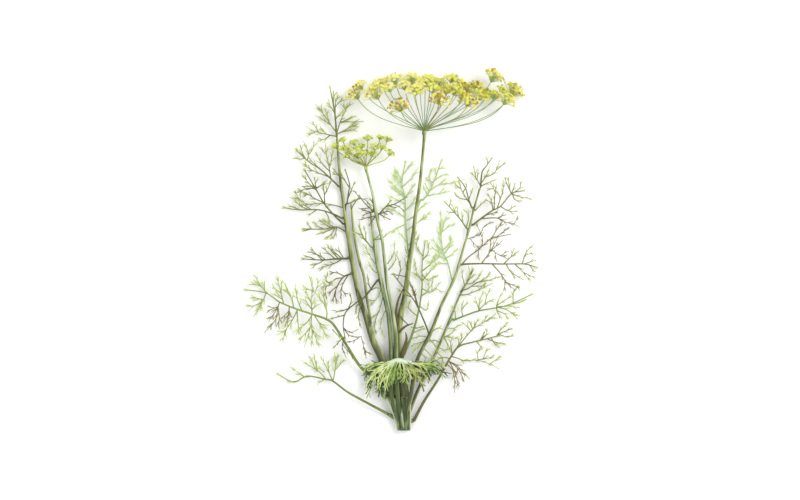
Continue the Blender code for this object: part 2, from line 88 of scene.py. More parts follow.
# name: ((x, y, z, radius), ...)
STEMS = {
    "stem_main": (
        (11.3, -144.9, 6.8, 5.5), (8.0, -130, 7.0, 5.1), (5.4, -113, 7.2, 4.7),
        (4.8, -95, 7.4, 4.1), (7.4, -69, 8, 3.3), (12.5, -45, 8.5, 2.8), (16.2, -16, 9, 2.5),
        (20, 9, 9.5, 2.2), (23, 35, 11.5, 1.9), (27, 64, 15, 1.65), (30, 93, 20, 1.5),
        (31.4, 111, 23.8, 1.5), (31.6, 115.5, 24.7, 2.2),
    ),
    "stem_left": (
        (-1.2, -145.9, 6, 4.7), (-5.2, -124, 5.8, 4.3), (-11.0, -108, 5.4, 3.8),
        (-19.5, -90, 5, 3.3), (-27.0, -65, 4.6, 2.8), (-32.8, -49, 4.4, 2.5),
        (-37.8, -26, 4.2, 2.3), (-42.8, 4, 4, 2.1), (-46.5, 30, 4.2, 1.8),
        (-49.5, 51, 4.6, 1.6), (-52.5, 75, 5, 1.4), (-54.6, 100, 5.6, 1.2), (-55.2, 111, 6, 1.1),
    ),
    "stem_small_umbel": (
        (5.2, -146.4, 15.0, 2.2), (3.6, -115, 15.2, 2.2), (3.0, -85, 14.8, 2.1),
        (0.6, -65, 13.8, 1.9), (-2.5, -49, 12.8, 1.8), (-5.5, -33, 11.5, 1.7),
        (-8, -10, 10, 1.6), (-10.5, 11, 9.5, 1.5), (-14.5, 27, 9.5, 1.45), (-19.5, 54, 10, 1.35),
        (-23.5, 70, 11, 1.3), (-26.3, 80.5, 12.2, 1.5),
    ),
    "stem_middle": (
        (-0.8, -146.4, 13.8, 2.1), (-1.8, -115, 13.2, 2.1), (-1.9, -90, 11, 2.1),
        (-4.2, -65, 8, 2.1), (-8.4, -45, 6, 2.1), (-12.6, -26, 5, 1.95), (-15.5, -12, 4.6, 1.8),
        (-18.2, 9, 4.4, 1.6), (-21.0, 30, 4.4, 1.2),
    ),
    "stem_left_thin": (
        (-21.6, -72, 8.6, 1.2), (-25.6, -48, 7.2, 1.4), (-28.6, -26, 6, 1.4),
        (-33.4, -10, 5, 1.35), (-38.4, 16, 4, 1.25), (-40.8, 40, 5, 1.0),
    ),
    "stem_right": (
        (17.8, -146.4, 13.8, 2.0), (23.8, -113, 12, 1.9), (29.5, -99, 10, 1.85),
        (37.5, -84, 8, 1.75), (43.5, -69, 7, 1.65), (49.5, -54, 6.5, 1.5), (56.5, -40, 6, 1.4),
        (62, -28, 6, 1.35), (66.5, -14, 6, 1.3), (71.5, 4, 6.5, 1.2), (76.5, 20.5, 7, 1.1),
        (80.8, 39, 8, 1.0), (87.0, 61, 9, 0.9),
    ),
    "stem_right_second": (
        (21.4, -150, 8, 1.6), (28, -134, 7, 1.5), (37.5, -116, 5.5, 1.4), (48.5, -91, 4.5, 1.3),
        (58.5, -67, 4, 1.2), (66.5, -47, 3.6, 1.0), (73.0, -35, 3.4, 0.9), (78.0, -25, 3.2, 0.75),
    ),
}

# name: (stalk route, radius at the foot, length of the finest segments, colour family,
#        how far it has dried, branches as (x, y, x, y, ...), branches that have turned brown).
# A branch springs from the line nearest to its first point.
LEAVES = {
    "leaf_left_top": (
        ((-55.8, 113.4, 6.2), (-57.5, 136, 9), (-60, 150, 10), (-62, 160, 9)), 1.1, 6, "olive",
        0.05,
        ((-57, 131, -57, 146, -54, 155), (-56.5, 143, -53.5, 147, -49.5, 152),
         (-60, 146, -58.8, 152, -58.5, 160), (-58, 137, -61, 142, -65, 147),
         (-56.2, 118, -61, 124, -67, 133, -72, 139, -77.5, 146), (-70, 137, -71.5, 144),
         (-64, 128, -65, 134, -67.5, 142), (-62, 126, -68, 129, -77.5, 135),
         (-56, 116, -52.5, 127, -48.5, 136, -45.5, 143, -44.5, 147), (-47.5, 139, -49, 146),
         (-46.5, 141, -42.5, 145), (-57, 131, -54, 134, -50.5, 137),
         (-52.5, 127, -46, 130, -36.5, 134), (-52, 127, -46, 128, -38, 128, -28.5, 128.5),
         (-53.5, 115, -47, 120, -42, 123, -38, 127), (-43, 122, -35, 125),
         (-51, 118, -44, 119, -36, 121), (-55.8, 114, -64, 115, -72, 117, -80, 119, -87, 124),
         (-74, 118, -77, 123, -81, 129), (-77, 117, -84, 115), (-66, 115, -72, 122),
         (-63, 114, -68, 110.5, -75, 109.5)), (),
    ),
    "leaf_left_a": (
        ((-53.9, 63.5, 5), (-61.5, 71, 10), (-71.5, 80, 13), (-83.5, 88, 10), (-93.5, 97, 4)),
        1.0, 6, "olive", 0.1,
        ((-61.5, 71, -63.5, 84, -66, 95, -67, 107), (-66, 94, -69, 98, -72.5, 102.5),
         (-63.5, 84, -61, 90, -59.5, 100), (-62.5, 78, -70, 86, -74, 92, -77, 98),
         (-71, 79, -78, 86, -84, 92), (-84, 89, -84, 97, -89, 109), (-84, 95, -80, 100, -78, 108),
         (-86, 91, -90, 97, -92, 105), (-88, 92, -92, 90.5, -99, 92), (-87, 92, -93, 97, -96, 101),
         (-64, 73, -72, 76, -81, 80, -90, 86.5), (-75, 78, -83, 81, -88, 86)), (),
    ),
    "leaf_left_b": (
        ((-49.2, 26.0, 7.4), (-59.5, 36, 14), (-68.5, 47, 17), (-76.5, 61, 15),
         (-86.5, 77.5, 8)), 1.0, 6, "dark", 0.05,
        ((-68, 47, -77, 51, -84, 55, -90, 53), (-80, 53, -87, 57, -95, 58),
         (-67.5, 46, -68, 57, -69.5, 68), (-67.8, 55, -64, 62, -61, 70),
         (-75.5, 60, -83, 66, -90, 75), (-76.5, 61, -77, 67, -77.5, 73),
         (-76, 61, -86, 61, -96, 56.5), (-75.5, 61, -70, 65, -66, 68), (-72, 60, -80, 63, -91, 63.5)),
        (),
    ),
    "leaf_left_c": (
        ((-50.4, 31.5, 4.4), (-59.5, 36, 6), (-73.5, 40, 8), (-93.5, 40, 6), (-106.5, 42, 2)),
        1.0, 6, "olive", 0.15,
        ((-92, 40, -98, 42, -104, 45), (-76, 40, -80, 37, -84, 34.5), (-67, 38, -64, 33, -62, 26),
         (-49, 42, -60, 45, -72, 46.5, -84, 45.5, -93, 44.5), (-86, 45, -92, 50, -103, 52.5),
         (-93, 44.5, -94, 52, -98, 59), (-82, 41, -87, 44, -93, 50), (-84, 40, -92, 44, -98, 50)),
        (),
    ),
    "leaf_left_d": (
        ((-48.2, 19, 3.4), (-56, 23, 3), (-68.5, 21, 2), (-87, 21, 1.2)), 0.8, 5, "olive", 0.15,
        ((-59, 22.5, -64, 26, -70, 31), (-62, 22, -68, 26, -74, 30), (-69, 21, -75, 24, -80, 28.5),
         (-80, 21, -83, 24, -86, 28.5), (-82, 21, -86, 19.5, -89, 19),
         (-57, 22.5, -65, 19, -77, 15.5), (-57, 22, -61, 16, -69, 10), (-56, 21, -57, 16, -60, 11)),
        (),
    ),
    "leaf_left_e": (
        ((-45.0, -8.5, 5), (-57, -9, 10), (-70, -10, 11), (-87.5, -9, 6)), 1.2, 6, "dark", 0.1,
        ((-66, -9, -74, -5, -85, -1), (-70, -9, -76, -4, -81, 1), (-57, -8, -64, -3, -70, 3),
         (-54, -8, -61, -1, -66, 6), (-49, -8, -52, -3, -54, 1), (-51, -8, -57, -3, -62, 2),
         (-50, -10, -57, -13, -66, -16, -75, -19), (-68, -10, -75, -14, -82, -15.5),
         (-77, -9, -83, -7, -88, -6)), (),
    ),
    "leaf_left_fork": (
        ((-45.6, 46, 6.5), (-44, 56, 10), (-43, 66, 12), (-46.5, 78, 10)), 0.8, 4, "dark", 0.1,
        ((-45, 50, -41, 60, -37, 69), (-44, 62, -48, 70, -52, 77), (-51, 69, -55, 76, -60, 82),
         (-53, 72, -60, 77), (-46.5, 46, -40, 48, -32, 52.5), (-33, 52, -36, 56, -39, 60),
         (-33, 52, -26, 49, -19, 39), (-41, 41, -37, 48, -32.5, 52)), (),
    ),
    "leaf_left_droop": (
        ((-41.8, -24, 6), (-49, -27, 9), (-55.5, -37, 7), (-59, -48, 3)), 0.9, 5, "dark", 0.75,
        ((-60, -34, -66, -31, -65, -22), (-61, -34, -67, -38, -66, -50)),
        ((-48, -26, -55, -23, -63, -22), (-50, -27, -57, -29, -64, -36),
         (-44, -25, -49, -33, -51.5, -41, -51, -54), (-51.5, -39, -49, -42, -46.5, -45),
         (-55, -36, -60, -40, -64, -44), (-56, -40, -57, -47, -55, -54)),
    ),
    "leaf_left_big": (
        ((-9.6, -145, 8), (-14.8, -131, 8), (-31.5, -117, 10), (-44.5, -97, 13),
         (-57.5, -76, 15), (-65.8, -69, 15), (-79.9, -64, 14), (-96.5, -58.5, 12),
         (-112.5, -52, 9), (-126.5, -43, 5), (-144.5, -40, 2)), 2.0, 7, "green", 0.05,
        ((-66, -69, -65.5, -60, -70, -51, -78.5, -41.5), (-78.5, -41.5, -81, -34, -81.5, -27),
         (-78.5, -41.5, -84, -39, -89, -36.5), (-77, -42, -75, -36, -73.5, -30.5),
         (-65.5, -58, -68.5, -46, -68.5, -36, -64, -21), (-68, -37, -60, -35),
         (-80, -64, -81, -50, -79, -37), (-81, -58, -85, -53, -89, -49), (-81, -52, -87, -41),
         (-79, -60, -74, -54), (-91, -60, -95, -48, -97, -33), (-98, -56, -101, -47, -110, -30),
         (-101, -47, -108, -40), (-108, -53, -112, -40, -116, -25), (-111, -43, -111, -31),
         (-110, -48, -118, -44), (-112, -43, -120, -37), (-125, -45, -129, -39, -139, -30),
         (-128, -40, -128, -31), (-133, -36, -143, -34), (-131, -37, -138, -25),
         (-127, -46, -130, -52, -139, -67), (-130, -52, -140, -56, -148, -55),
         (-130, -50, -142, -47), (-131, -50, -131, -59), (-94, -60, -100, -70, -107, -80, -116, -85),
         (-105, -79, -110, -91), (-95, -62, -94, -75, -93.5, -85),
         (-80, -65, -86, -73, -98, -82), (-80, -65, -82, -78, -88, -97), (-82, -78, -93, -90),
         (-81, -72, -80, -85, -81, -97), (-79.5, -78, -72, -98), (-79, -79, -71.5, -88),
         (-78, -66, -70, -78, -64, -89), (-74, -72, -66, -77), (-60, -79, -53, -86, -47, -88)),
        ((-113, -52, -115, -58, -120, -66, -125, -69), (-115, -57, -117, -70, -128, -83),
         (-115, -57, -113, -67, -114, -77), (-115, -57, -125, -61),
         (-102, -56, -104, -65, -107, -77), (-103, -60, -111, -69), (-102, -60, -103, -69)),
    ),
    "leaf_left_curl": (
        ((-15.6, -31, 8.6), (-27.5, -46.6, 14), (-35.5, -52, 15), (-46.5, -62, 17.5),
         (-49, -74, 19.5), (-47.5, -86, 19)), 1.0, 4, "dark", 0.1,
        ((-47, -65, -56, -67, -64, -69), (-43, -59, -52, -61, -61, -60),
         (-44, -59, -41, -50, -43, -42), (-22, -42, -17, -38, -12, -38),
         (-20, -40, -24, -33, -25, -24), (-50, -78, -42, -82, -34, -79),
         (-27, -47, -36, -57, -36, -64), (-30, -49, -34, -66, -31, -78)),
        ((-49.5, -78, -44, -84, -38, -86.5, -31, -86), (-31, -86, -29, -95, -26, -108),
         (-30, -96, -26, -101, -20, -104), (-32, -87, -38, -90, -46, -92),
         (-48, -86, -53, -91, -59, -98), (-48, -86, -50, -96, -46, -107),
         (-49, -94, -44, -101, -38, -109)),
    ),
    "leaf_left_low": (
        ((-4.2, -164, 5), (-24.5, -153, 7), (-44.5, -142, 7), (-59.5, -131, 6),
         (-67.9, -129, 5), (-85.5, -126, 4), (-98.5, -132, 3), (-112.9, -125, 1.2)), 1.5, 5,
        "green", 0.0,
        ((-66, -129.5, -73, -122, -84, -115, -92, -109.5), (-76, -119, -80, -112, -83.5, -106),
         (-75, -120, -77, -112, -79, -102.5), (-82, -126.5, -88, -126.5, -95, -122, -103, -116.5),
         (-95, -131, -105, -131.5), (-60, -130.5, -66, -117, -72, -105.5),
         (-63, -124, -64, -117, -64, -110), (-68, -122, -74, -118),
         (-59.5, -131, -57, -117, -58, -102), (-57, -117, -54, -104),
         (-57, -119, -52, -114, -48, -109.5), (-57, -113, -59, -107), (-68, -129, -74, -133)), (),
    ),
    "leaf_right_tip": (
        ((88.0, 63.6, 9.4), (89.1, 77, 13), (93, 83, 14), (98, 90, 13)), 0.9, 4, "olive", 0.1,
        ((88.5, 66, 93, 73, 97, 83), (88, 63, 93, 66, 98, 68, 104, 71), (93, 73, 99, 75, 103, 79,
         107, 90), (103, 79, 113.5, 88), (88, 64, 83, 72, 77, 78), (83, 72, 81, 84),
         (84.5, 70, 85.5, 80), (95, 86, 94, 92)), (),
    ),
    "leaf_right_upper": (
        ((79.0, 42, 9.4), (76, 50, 13), (72.5, 62, 15), (66, 71, 12)), 0.9, 4, "olive", 0.1,
        ((78, 45, 72, 54, 68, 62, 66, 70), (68, 61, 62, 66), (74, 50, 66, 52, 61, 58),
         (70, 57, 74, 64, 73, 65), (77, 50, 80, 62), (82, 39, 88, 45, 94, 50.5),
         (93, 49, 102, 46)), (),
    ),
    "leaf_right_fork": (
        ((80.2, 25, 7.2), (90.5, 33, 12), (99, 39, 15), (107.5, 43.5, 16), (118.5, 56, 12),
         (129.5, 59, 6)), 1.0, 4.5, "olive", 0.3,
        ((119, 56, 122.5, 66.5), (118, 56, 114, 66, 112, 72), (117.5, 59, 115, 73),
         (103.5, 42, 107, 50, 110, 60, 110, 70), (108, 51, 102, 60), (100.5, 40, 102, 55, 103.5, 65),
         (101.5, 57, 98, 67), (99, 61, 95, 61), (100, 41, 98, 50, 94, 56.5),
         (119, 55, 127, 53, 140, 50.5), (119, 54, 122, 50, 129, 48.5), (121, 57, 127, 62, 128, 68),
         (108, 43, 115, 39, 125, 38), (115, 39, 122, 44)),
        ((88, 32, 100, 32, 107, 31, 112, 28, 121, 25.5, 127, 22.5), (121, 25.5, 125, 33),
         (105, 31.5, 111, 35), (94, 34, 105, 38)),
    ),
    "leaf_right_left": (
        ((73.8, 21.5, 8), (68, 30, 12), (58.5, 41, 13), (53.0, 47, 9)), 0.8, 4, "green", 0.05,
        ((62, 37, 54, 38), (63, 36, 59, 46), (66, 33, 64, 44), (70, 28, 69, 38),
         (76, 24, 76, 34, 70, 41), (57, 43, 58, 50)), (),
    ),
    "leaf_right_side": (
        ((69.0, -14.6, 6), (74, -14, 9), (88.5, -13.6, 14), (110.5, -14, 15), (131.5, -14, 9),
         (142.5, -17, 3)), 1.1, 4.5, "olive", 0.15,
        ((130, -14, 133, -3, 141, 6), (132, -5, 139, -3), (132, -14, 137, -12, 143, -10),
         (136, -16, 142, -22), (121, -15, 130, -22, 138, -32), (130, -21.5, 142, -28),
         (112, -14, 118, -22, 131, -30), (118, -22.5, 122, -28), (111, -13, 118, -7, 127, 0),
         (118, -7, 121, 2)),
        ((88, -13, 97, -2, 105, 13), (97, -2, 99, 0, 110, 9.5), (96, -3, 98, 10),
         (100, -14, 108, -24, 113, -32, 122, -40), (112, -30, 112, -40), (113, -31, 127, -38),
         (101, -1, 108, -6, 113, -6), (101, -3, 103, -10), (108, -6, 113, -2),
         (69, -14, 76, -7, 84, -1, 92, 6, 98, 11, 106, 13.5, 119, 16), (100, 12, 104, 20, 110, 28),
         (104, 14, 117, 23), (89, 2, 90, 10, 88, 17), (86, 0, 86, -8.5), (88, 16, 84, 26),
         (88, 16, 92, 24, 101, 28), (75, 11, 88, 16), (78, 9, 83, 5, 87, 1)),
    ),
    "leaf_right_inner": (
        ((59.0, -29, 5), (55, -12, 3), (50.5, -2, 2.6), (48.5, 14, 2), (47.5, 25, 1.2)), 0.8, 5,
        "pale", 0.0,
        ((49, 14, 48.5, 28, 48, 40), (49, 16, 52, 27, 54, 33), (49, 14, 44, 22),
         (50, 18, 56, 23, 62, 26), (51, 0, 56, 5, 60, 12), (54, -8, 60, -4, 65, 2),
         (53, -4, 58, 6, 57, 15), (50, 0, 43, 6, 40, 12), (50, -3, 44, -1, 38, 4),
         (54, -10, 47, -6, 40, -6), (47, -6, 41, -12, 34, -11), (47, -5, 45, 4),
         (50, 7, 46, 14), (55, -14, 44, -14, 38, -21), (45, -15, 40, -10)), (),
    ),
    "leaf_right_mid": (
        ((67.8, -41.2, 6.4), (76, -38, 9), (83, -33, 9), (90, -31, 7)), 0.7, 4, "olive", 0.0,
        ((67, -45, 70, -38, 75, -31, 77, -25, 76, -16), (77, -25, 80, -18), (73, -34, 80, -33,
         86, -27, 90, -20), (72, -36, 70, -27, 69, -18), (80, -34, 93, -28, 98, -22),
         (84, -33, 97, -30, 108, -26), (67, -48, 74, -44.5, 82, -41.5, 90, -38, 100, -33),
         (86, -39, 93, -32), (78, -36, 88, -36, 95, -36), (73, -34, 79, -27, 83, -24)), (),
    ),
    "leaf_right_fan": (
        ((61.0, -70, 5), (68.5, -67, 8), (85, -61, 11), (103.5, -57.6, 11), (118, -54, 7),
         (137.5, -45, 2)), 1.0, 4.5, "green", 0.1,
        ((86, -61, 92, -54, 97, -51, 103, -49), (86, -60, 87, -50, 91, -41),
         (92, -54, 94, -46, 98, -38), (86, -59, 82, -47), (103, -57, 105, -51, 110, -42),
         (104, -56, 112, -50, 119, -46), (120, -53, 121, -42, 127, -35), (118, -54, 128, -52, 134, -49),
         (104, -57, 115, -56, 128, -58), (104, -57, 112, -59, 120, -63, 128, -66),
         (103, -58, 105, -63, 109, -69), (105, -60, 112, -64, 116, -69), (119, -62, 125, -69),
         (70, -66, 69, -58, 71, -50), (70, -60, 75, -52), (63, -69, 62, -60, 58, -56),
         (51, -87, 58, -84, 63, -79), (50, -89, 56, -96, 59, -104), (48, -93, 41, -90, 34, -92),
         (46, -97, 52, -100, 58, -98), (55, -78, 62, -78, 68, -74), (44, -102, 50, -108, 49, -114),
         (53, -84, 60, -88, 66, -88)), (),
    ),
    "leaf_right_low": (
        ((21.5, -170, 5), (31.5, -151, 7), (45.5, -129, 9), (58.5, -106, 11), (66.5, -96, 12),
         (79.5, -92, 10), (90.5, -89.5, 7), (104.5, -86, 3)), 1.7, 5, "olive", 0.1,
        ((66, -97, 72, -88, 80, -79, 88, -74, 97, -69, 105, -68.5), (80, -79, 76, -70),
         (79, -80, 70, -72), (80, -79, 86, -68), (92, -72, 93, -66), (94, -71, 103, -64),
         (104, -86, 108, -80, 116, -72), (106, -84, 120, -78), (107, -85, 116, -87, 121, -84),
         (98, -88, 103, -95, 107, -97), (95, -89, 106, -93, 114, -94), (87, -90, 94, -84, 93, -78),
         (84, -92, 90, -99), (58, -106, 65, -108, 72, -110.5, 84, -110, 97, -114, 107, -119),
         (84, -109.5, 95, -108, 103, -105), (97, -113.5, 103, -110, 109, -106),
         (91, -108, 95, -98), (85, -109, 85, -103, 88, -98), (57, -109, 50, -107, 44, -110),
         (60, -104, 58, -94, 60, -86), (51, -119, 46, -112, 38, -108), (62, -100, 68, -90, 69, -82)),
        ((57, -111, 64, -115, 70, -122, 77.5, -129), (57, -112, 64, -117, 69, -125, 71, -132),
         (56, -113, 62, -122, 65, -132, 65.5, -140), (55, -114, 60, -120, 62, -132, 62, -143),
         (87, -90, 92, -82)),
    ),
    "leaf_back_left": (
        ((15.4, -1, 4.6), (13.1, 26, 2.4), (12.5, 51, 2.2), (9.5, 67, 2), (12.5, 86, 1.4)),
        0.9, 5, "pale", 0.0,
        ((12.5, 50, 18, 60, 23, 67), (12.5, 52, 5, 58, -4, 65), (11, 62, 5, 67, -2, 78),
         (11, 64, 20, 73, 26, 83), (10, 70, 4, 80), (11, 76, 16, 82, 20, 88),
         (13, 40, 20, 47, 24, 55), (14, 28, 22, 34, 30, 44, 38, 48), (16, 20, 26, 28, 35, 33),
         (28, 30, 38, 38), (13, 26, 5, 22, -2, 18), (13, 34, 4, 38, -6, 48), (3, 39, -8, 42),
         (12.5, 46, 5, 50, -8, 56), (10, 68, 4, 72, 2, 84), (15, 8, 9, 14, 4, 22),
         (15, 4, 22, 12, 24, 20), (12, 56, 4, 62, -6, 72)), (),
    ),
    "leaf_back_right": (
        ((30.6, 50, 8), (35.5, 56, 5), (41, 67, 3), (48.5, 88, 1.4)), 0.8, 4.5, "pale", 0.0,
        ((34, 54, 44, 56, 58, 59), (37, 59, 46, 65, 58, 67, 73, 71), (40, 67, 33, 72),
         (41, 69, 50, 75, 57, 75), (38, 64, 37, 74, 40, 82), (34, 55, 30, 64), (36, 58, 32, 67),
         (44, 75, 42, 82), (46, 80, 52, 82), (48, 65.5, 53, 72), (60, 67.5, 66, 62),
         (46, 56, 52, 62)), (),
    ),
    "leaf_small_left": (
        ((-19.3, 37.8, 9.6), (-23, 42, 12), (-28, 47, 12), (-32.5, 53, 9)), 0.7, 3.5, "dark", 0.35,
        ((-18, 39, -19, 45, -23, 52),),
        ((-18, 36, -25, 36.5, -30, 34), (-17, 34, -26, 32, -34, 30), (-20, 38, -27, 39, -34, 42),
         (-24, 41, -30, 41), (-17, 33, -21, 28, -24, 24)),
    ),
    "leaf_small_right": (
        ((-13.0, 36, 9.6), (-6.5, 43, 12), (2.5, 46, 13), (12.5, 52, 10)), 0.7, 3.5, "dark", 0.3,
        ((2, 45, 8, 42, 12, 38), (-6, 43, -1, 50)),
        ((-14, 37, -4, 38.5, 0, 35), (-13.5, 33, -8, 33, -2, 30), (-10, 39, -6, 35),
         (-4, 44, 4, 42)),
    ),
    "leaf_inner": (
        ((36.4, -84, 9.4), (31.5, -71, 12.5), (22, -51, 15.5), (10, -36, 17), (1.5, -25.5, 16)),
        0.9, 4, "dark", 0.1,
        ((27, -57, 22, -44, 14, -28), (20, -47, 12, -44, 4, -38), (11, -37, 14, -22, 12, -8),
         (12, -27, 16, -12, 12, 4), (5, -30, 8, -18, 5, -6), (14, -27, 5, -25, -1, -24)),
        ((24, -53, 22, -42, 16, -30), (25, -54, 20, -40)),
    ),
    "leaf_inner_right": (
        ((9.0, -109, 9.5), (14, -98, 9.5), (18.5, -87, 9), (22.5, -75, 8), (27, -56, 6),
         (29.5, -36, 5), (29.5, -16, 3.4), (32.5, 7, 2)), 1.7, 4.5,
        "green", 0.0,
        ((29.5, -30, 38, -21, 47, -12), (29.5, -31, 24, -22, 22, -8), (28, -28, 20, -22),
         (29.5, -6, 24, 4, 27, 16), (30, -10, 36, -2, 35, 10), (30, -20, 38, -14, 44, -4),
         (30, -38, 38, -42, 44, -38), (43, -40, 48, -32), (40, -41, 40, -30, 46, -24),
         (28, -46, 36, -40, 35, -28), (26, -56, 34, -60, 36, -50), (22, -66, 16, -58, 18, -50),
         (44, -39, 50, -42), (30, -24, 35, -30, 42, -26), (35, -87, 27, -86, 19, -89),
         (34, -90, 26, -96, 19, -103), (31, -95, 25, -93, 18, -96), (37, -88, 43, -96, 46, -104),
         (31, -98, 37, -104, 41, -110), (39, -82, 45, -78, 51, -79), (31, -76, 24, -78, 18, -77),
         (28, -103, 33, -108, 30, -114), (22, -84, 27, -80, 33, -78)), (),
    ),
    "leaf_shoot": (
        ((-22.0, 3, 6), (-26, 9, 9), (-30, 14, 10), (-33, 22, 8)), 0.7, 4, "green", 0.0,
        ((-24, 7, -30, 12, -37, 18), (-28, 11, -32, 20, -33, 29), (-26, 10, -27, 17, -29, 24),
         (-31, 15, -36, 17, -40, 17), (-19, 10, -14, 14, -10, 21), (-18, 9, -10, 12, -3, 18),
         (-15, -17, -22, -7, -27, 3), (-23, -5, -28, -3), (-25, -1, -29, 6),
         (-13, -24, -20, -20, -24, -12), (-10, -34, -14, -46, -22, -56), (-17, -50, -24, -50),
         (-9, -44, -14, -62, -22, -68), (-13, -58, -18, -74, -16, -84), (-6, -58, -12, -74, -8, -88),
         (-4, -20, 2, -12, 5, 0), (-5, -14, 1, -4, 2, 10)), (),
    ),
}

# (x, y, z, radius, bow) of each umbellet of the large umbel; bow is how far its ray sags outward
UMBELLETS = (
    (-38.5, 156.5, 14, 8.0, 9), (-18.5, 158, 36, 10.5, 9), (1.5, 171, 20, 7.5, 4),
    (18.5, 172, 9, 7.5, 2), (32.5, 169, 30, 7.5, 0), (46.5, 167, 10, 7.5, 1),
    (59.5, 171, 28, 6.5, 2), (62.5, 159, 48, 7.5, 3), (76.5, 162, 16, 8.0, 3),
    (88.5, 154, 39, 7.5, 5), (95.5, 156, 12, 7.5, 6), (101.5, 174, 27, 8.8, 4),
    (114.5, 150, 33, 8.0, 8), (122.5, 160, 11, 9.0, 10), (6.1, 143, 62, 8.5, 4),
    (46.5, 149, 75, 8.5, 0), (76.5, 147, 63, 8.0, 3), (22, 158, 57, 7.0, 1),
    (-12, 168, 11, 7.5, 6), (40, 160, 53, 6.5, 0),
)
# (x, y, z, radius) of each umbellet of the small umbel
SMALL_UMBELLETS = (
    (-58, 104, 12, 3.6), (-50, 110, 17, 4.0), (-43.5, 100, 22, 4.6), (-38.5, 108, 9, 4.4),
    (-24.5, 112, 13, 4.6), (-17, 103, 24, 5.0), (-4.5, 111, 10, 4.6), (-1.5, 97, 19, 5.0),
    (-27.5, 97, 27, 5.0), (-12, 112, 20, 3.6),
)

# (share of florets that are ripe brown, lowest and highest shade of the rest) of each umbellet
FLORET_SHADES = {
    1: (0.12, 0.45, 0.95), 2: (0.25, 0.50, 1.0), 3: (0.06, 0.55, 1.0), 4: (0.06, 0.5, 1.0),
    5: (0.05, 0.35, 0.85), 6: (0.05, 0.33, 0.75), 7: (0.05, 0.33, 0.75), 8: (0.1, 0.33, 0.75),
    9: (0.2, 0.3, 0.75), 10: (0.12, 0.32, 0.7), 11: (0.1, 0.32, 0.7), 12: (0.3, 0.33, 0.75),
    13: (0.06, 0.33, 0.7), 14: (0.25, 0.33, 0.7), 15: (0.5, 0.3, 0.7), 16: (0.45, 0.3, 0.8),
    17: (0.4, 0.3, 0.8), 18: (0.05, 0.5, 0.9), 19: (0.08, 0.55, 1.0), 20: (0.05, 0.4, 0.85),
}
# (x, y, z, radius) of the lesser heads that fill the large umbel between the others
UMBEL_FILLERS = (
    (-33, 165, 18, 8.5), (11, 164, 30, 8), (27, 162, 44, 8), (54, 159, 40, 8.5),
    (69, 166, 16, 8), (70, 153, 48, 8.5), (85, 164, 24, 8), (103, 154, 28, 9),
    (-4, 161, 38, 8), (110, 160, 20, 7.5), (38, 171, 16, 7.5),
)
# (x, y, z, radius) of the young heads that fill the small umbel between its longer rays
SMALL_FILLERS = (
    (-35, 94, 18, 4.4), (-45, 95, 15, 4.4), (-20, 96, 15, 4.4), (-31, 104, 17, 4.2),
    (-10, 103, 15, 4.2), (-50, 102, 19, 4.0), (-36, 100, 25, 4.0),
)

# (x, y, z, how far it has dried) of each leaflet tip of the drooping tuft
TUFT_TIPS = (
    (-31, -122, 12, 0), (-29, -131, 12, 0), (-29, -143, 13, 0), (-23, -146, 14, 0),
    (-17, -147, 16, 0), (-10, -151, 19, 0), (-14, -137, 20, 0), (-6, -142, 21, 0),
    (-20, -128, 18, 0), (1, -137, 22, 0), (8, -139, 22, 0), (14, -135, 21, 0.1),
    (20, -132, 20, 0.2), (27, -137, 18, 0.3), (31, -139, 16, 0.3), (36, -131, 16, 0.25),
    (38, -124, 16, 0.2), (45, -121, 15, 0.15), (52, -120, 14, 0.1), (55, -129, 13, 0),
)
# (x, y, z, radius) along the tuft's pale fold, and down its stub of a stalk
TUFT_FOLD = (
    (-7.5, -117.0, 17.0, 0.8), (-5.0, -114.2, 18.8, 2.0), (0.0, -111.6, 20.0, 2.7),
    (6.5, -110.2, 20.6, 3.0), (13.0, -111.6, 20.0, 2.6), (18.0, -112.2, 18.8, 2.2),
    (21.5, -115.6, 17.2, 0.8),
)
TUFT_STUB = ((8.6, -112.0, 11.0, 1.4), (8.4, -111.4, 15.0, 1.8), (8.0, -110.8, 18.8, 2.4))
# (darkest cast, palest cast, leaflet half width, depth below the top) of each layer of leaflets; the
# lower layers' darker casts are painted shade under the layers above
TUFT_LAYERS = ((0.0, 0.10, 0.95, 6.0), (0.1, 0.55, 0.78, 3.0), (0.45, 1.0, 0.72, 0.0))
TUFT_MIDDLE = Vector((7.0, -110.0, 23.0))

# the stem that each stem or leaf springs from; None is the crown
PARENTS = {
    "stem_left_thin": "stem_left",
    "leaf_left_top": "stem_left", "leaf_left_a": "stem_left", "leaf_left_b": "stem_left",
    "leaf_left_c": "stem_left", "leaf_left_d": "stem_left", "leaf_left_e": "stem_left",
    "leaf_left_fork": "stem_left", "leaf_left_droop": "stem_left",
    "leaf_left_curl": "stem_middle", "leaf_shoot": "stem_middle",
    "leaf_small_left": "stem_small_umbel", "leaf_small_right": "stem_small_umbel",
    "leaf_right_tip": "stem_right", "leaf_right_upper": "stem_right",
    "leaf_right_fork": "stem_right", "leaf_right_left": "stem_right",
    "leaf_right_side": "stem_right", "leaf_right_inner": "stem_right",
    "leaf_inner": "stem_right",
    "leaf_right_mid": "stem_right_second", "leaf_right_fan": "stem_right_second",
    "leaf_back_left": "stem_main", "leaf_back_right": "stem_main",
    "leaf_inner_right": "stem_main",
}
# how much of each leaf's foot is a blue-green sheath
TEAL_FEET = {"leaf_right_side": 1.0, "leaf_right_mid": 0.7, "leaf_right_fan": 0.9}
# how dark each stem is at its foot; the rest are FOOT_SHADE
SHADED_FEET = {"stem_middle": 1.0, "stem_small_umbel": 1.0, "stem_main": 0.9, "stem_right": 0.7}
FOOT_SHADE = 0.5
YOUNG_STEMS = ("stem_middle", "stem_small_umbel")
OPEN_ENDED = ("stem_middle", "stem_left_thin", "stem_right_second")  # their tips run on a little
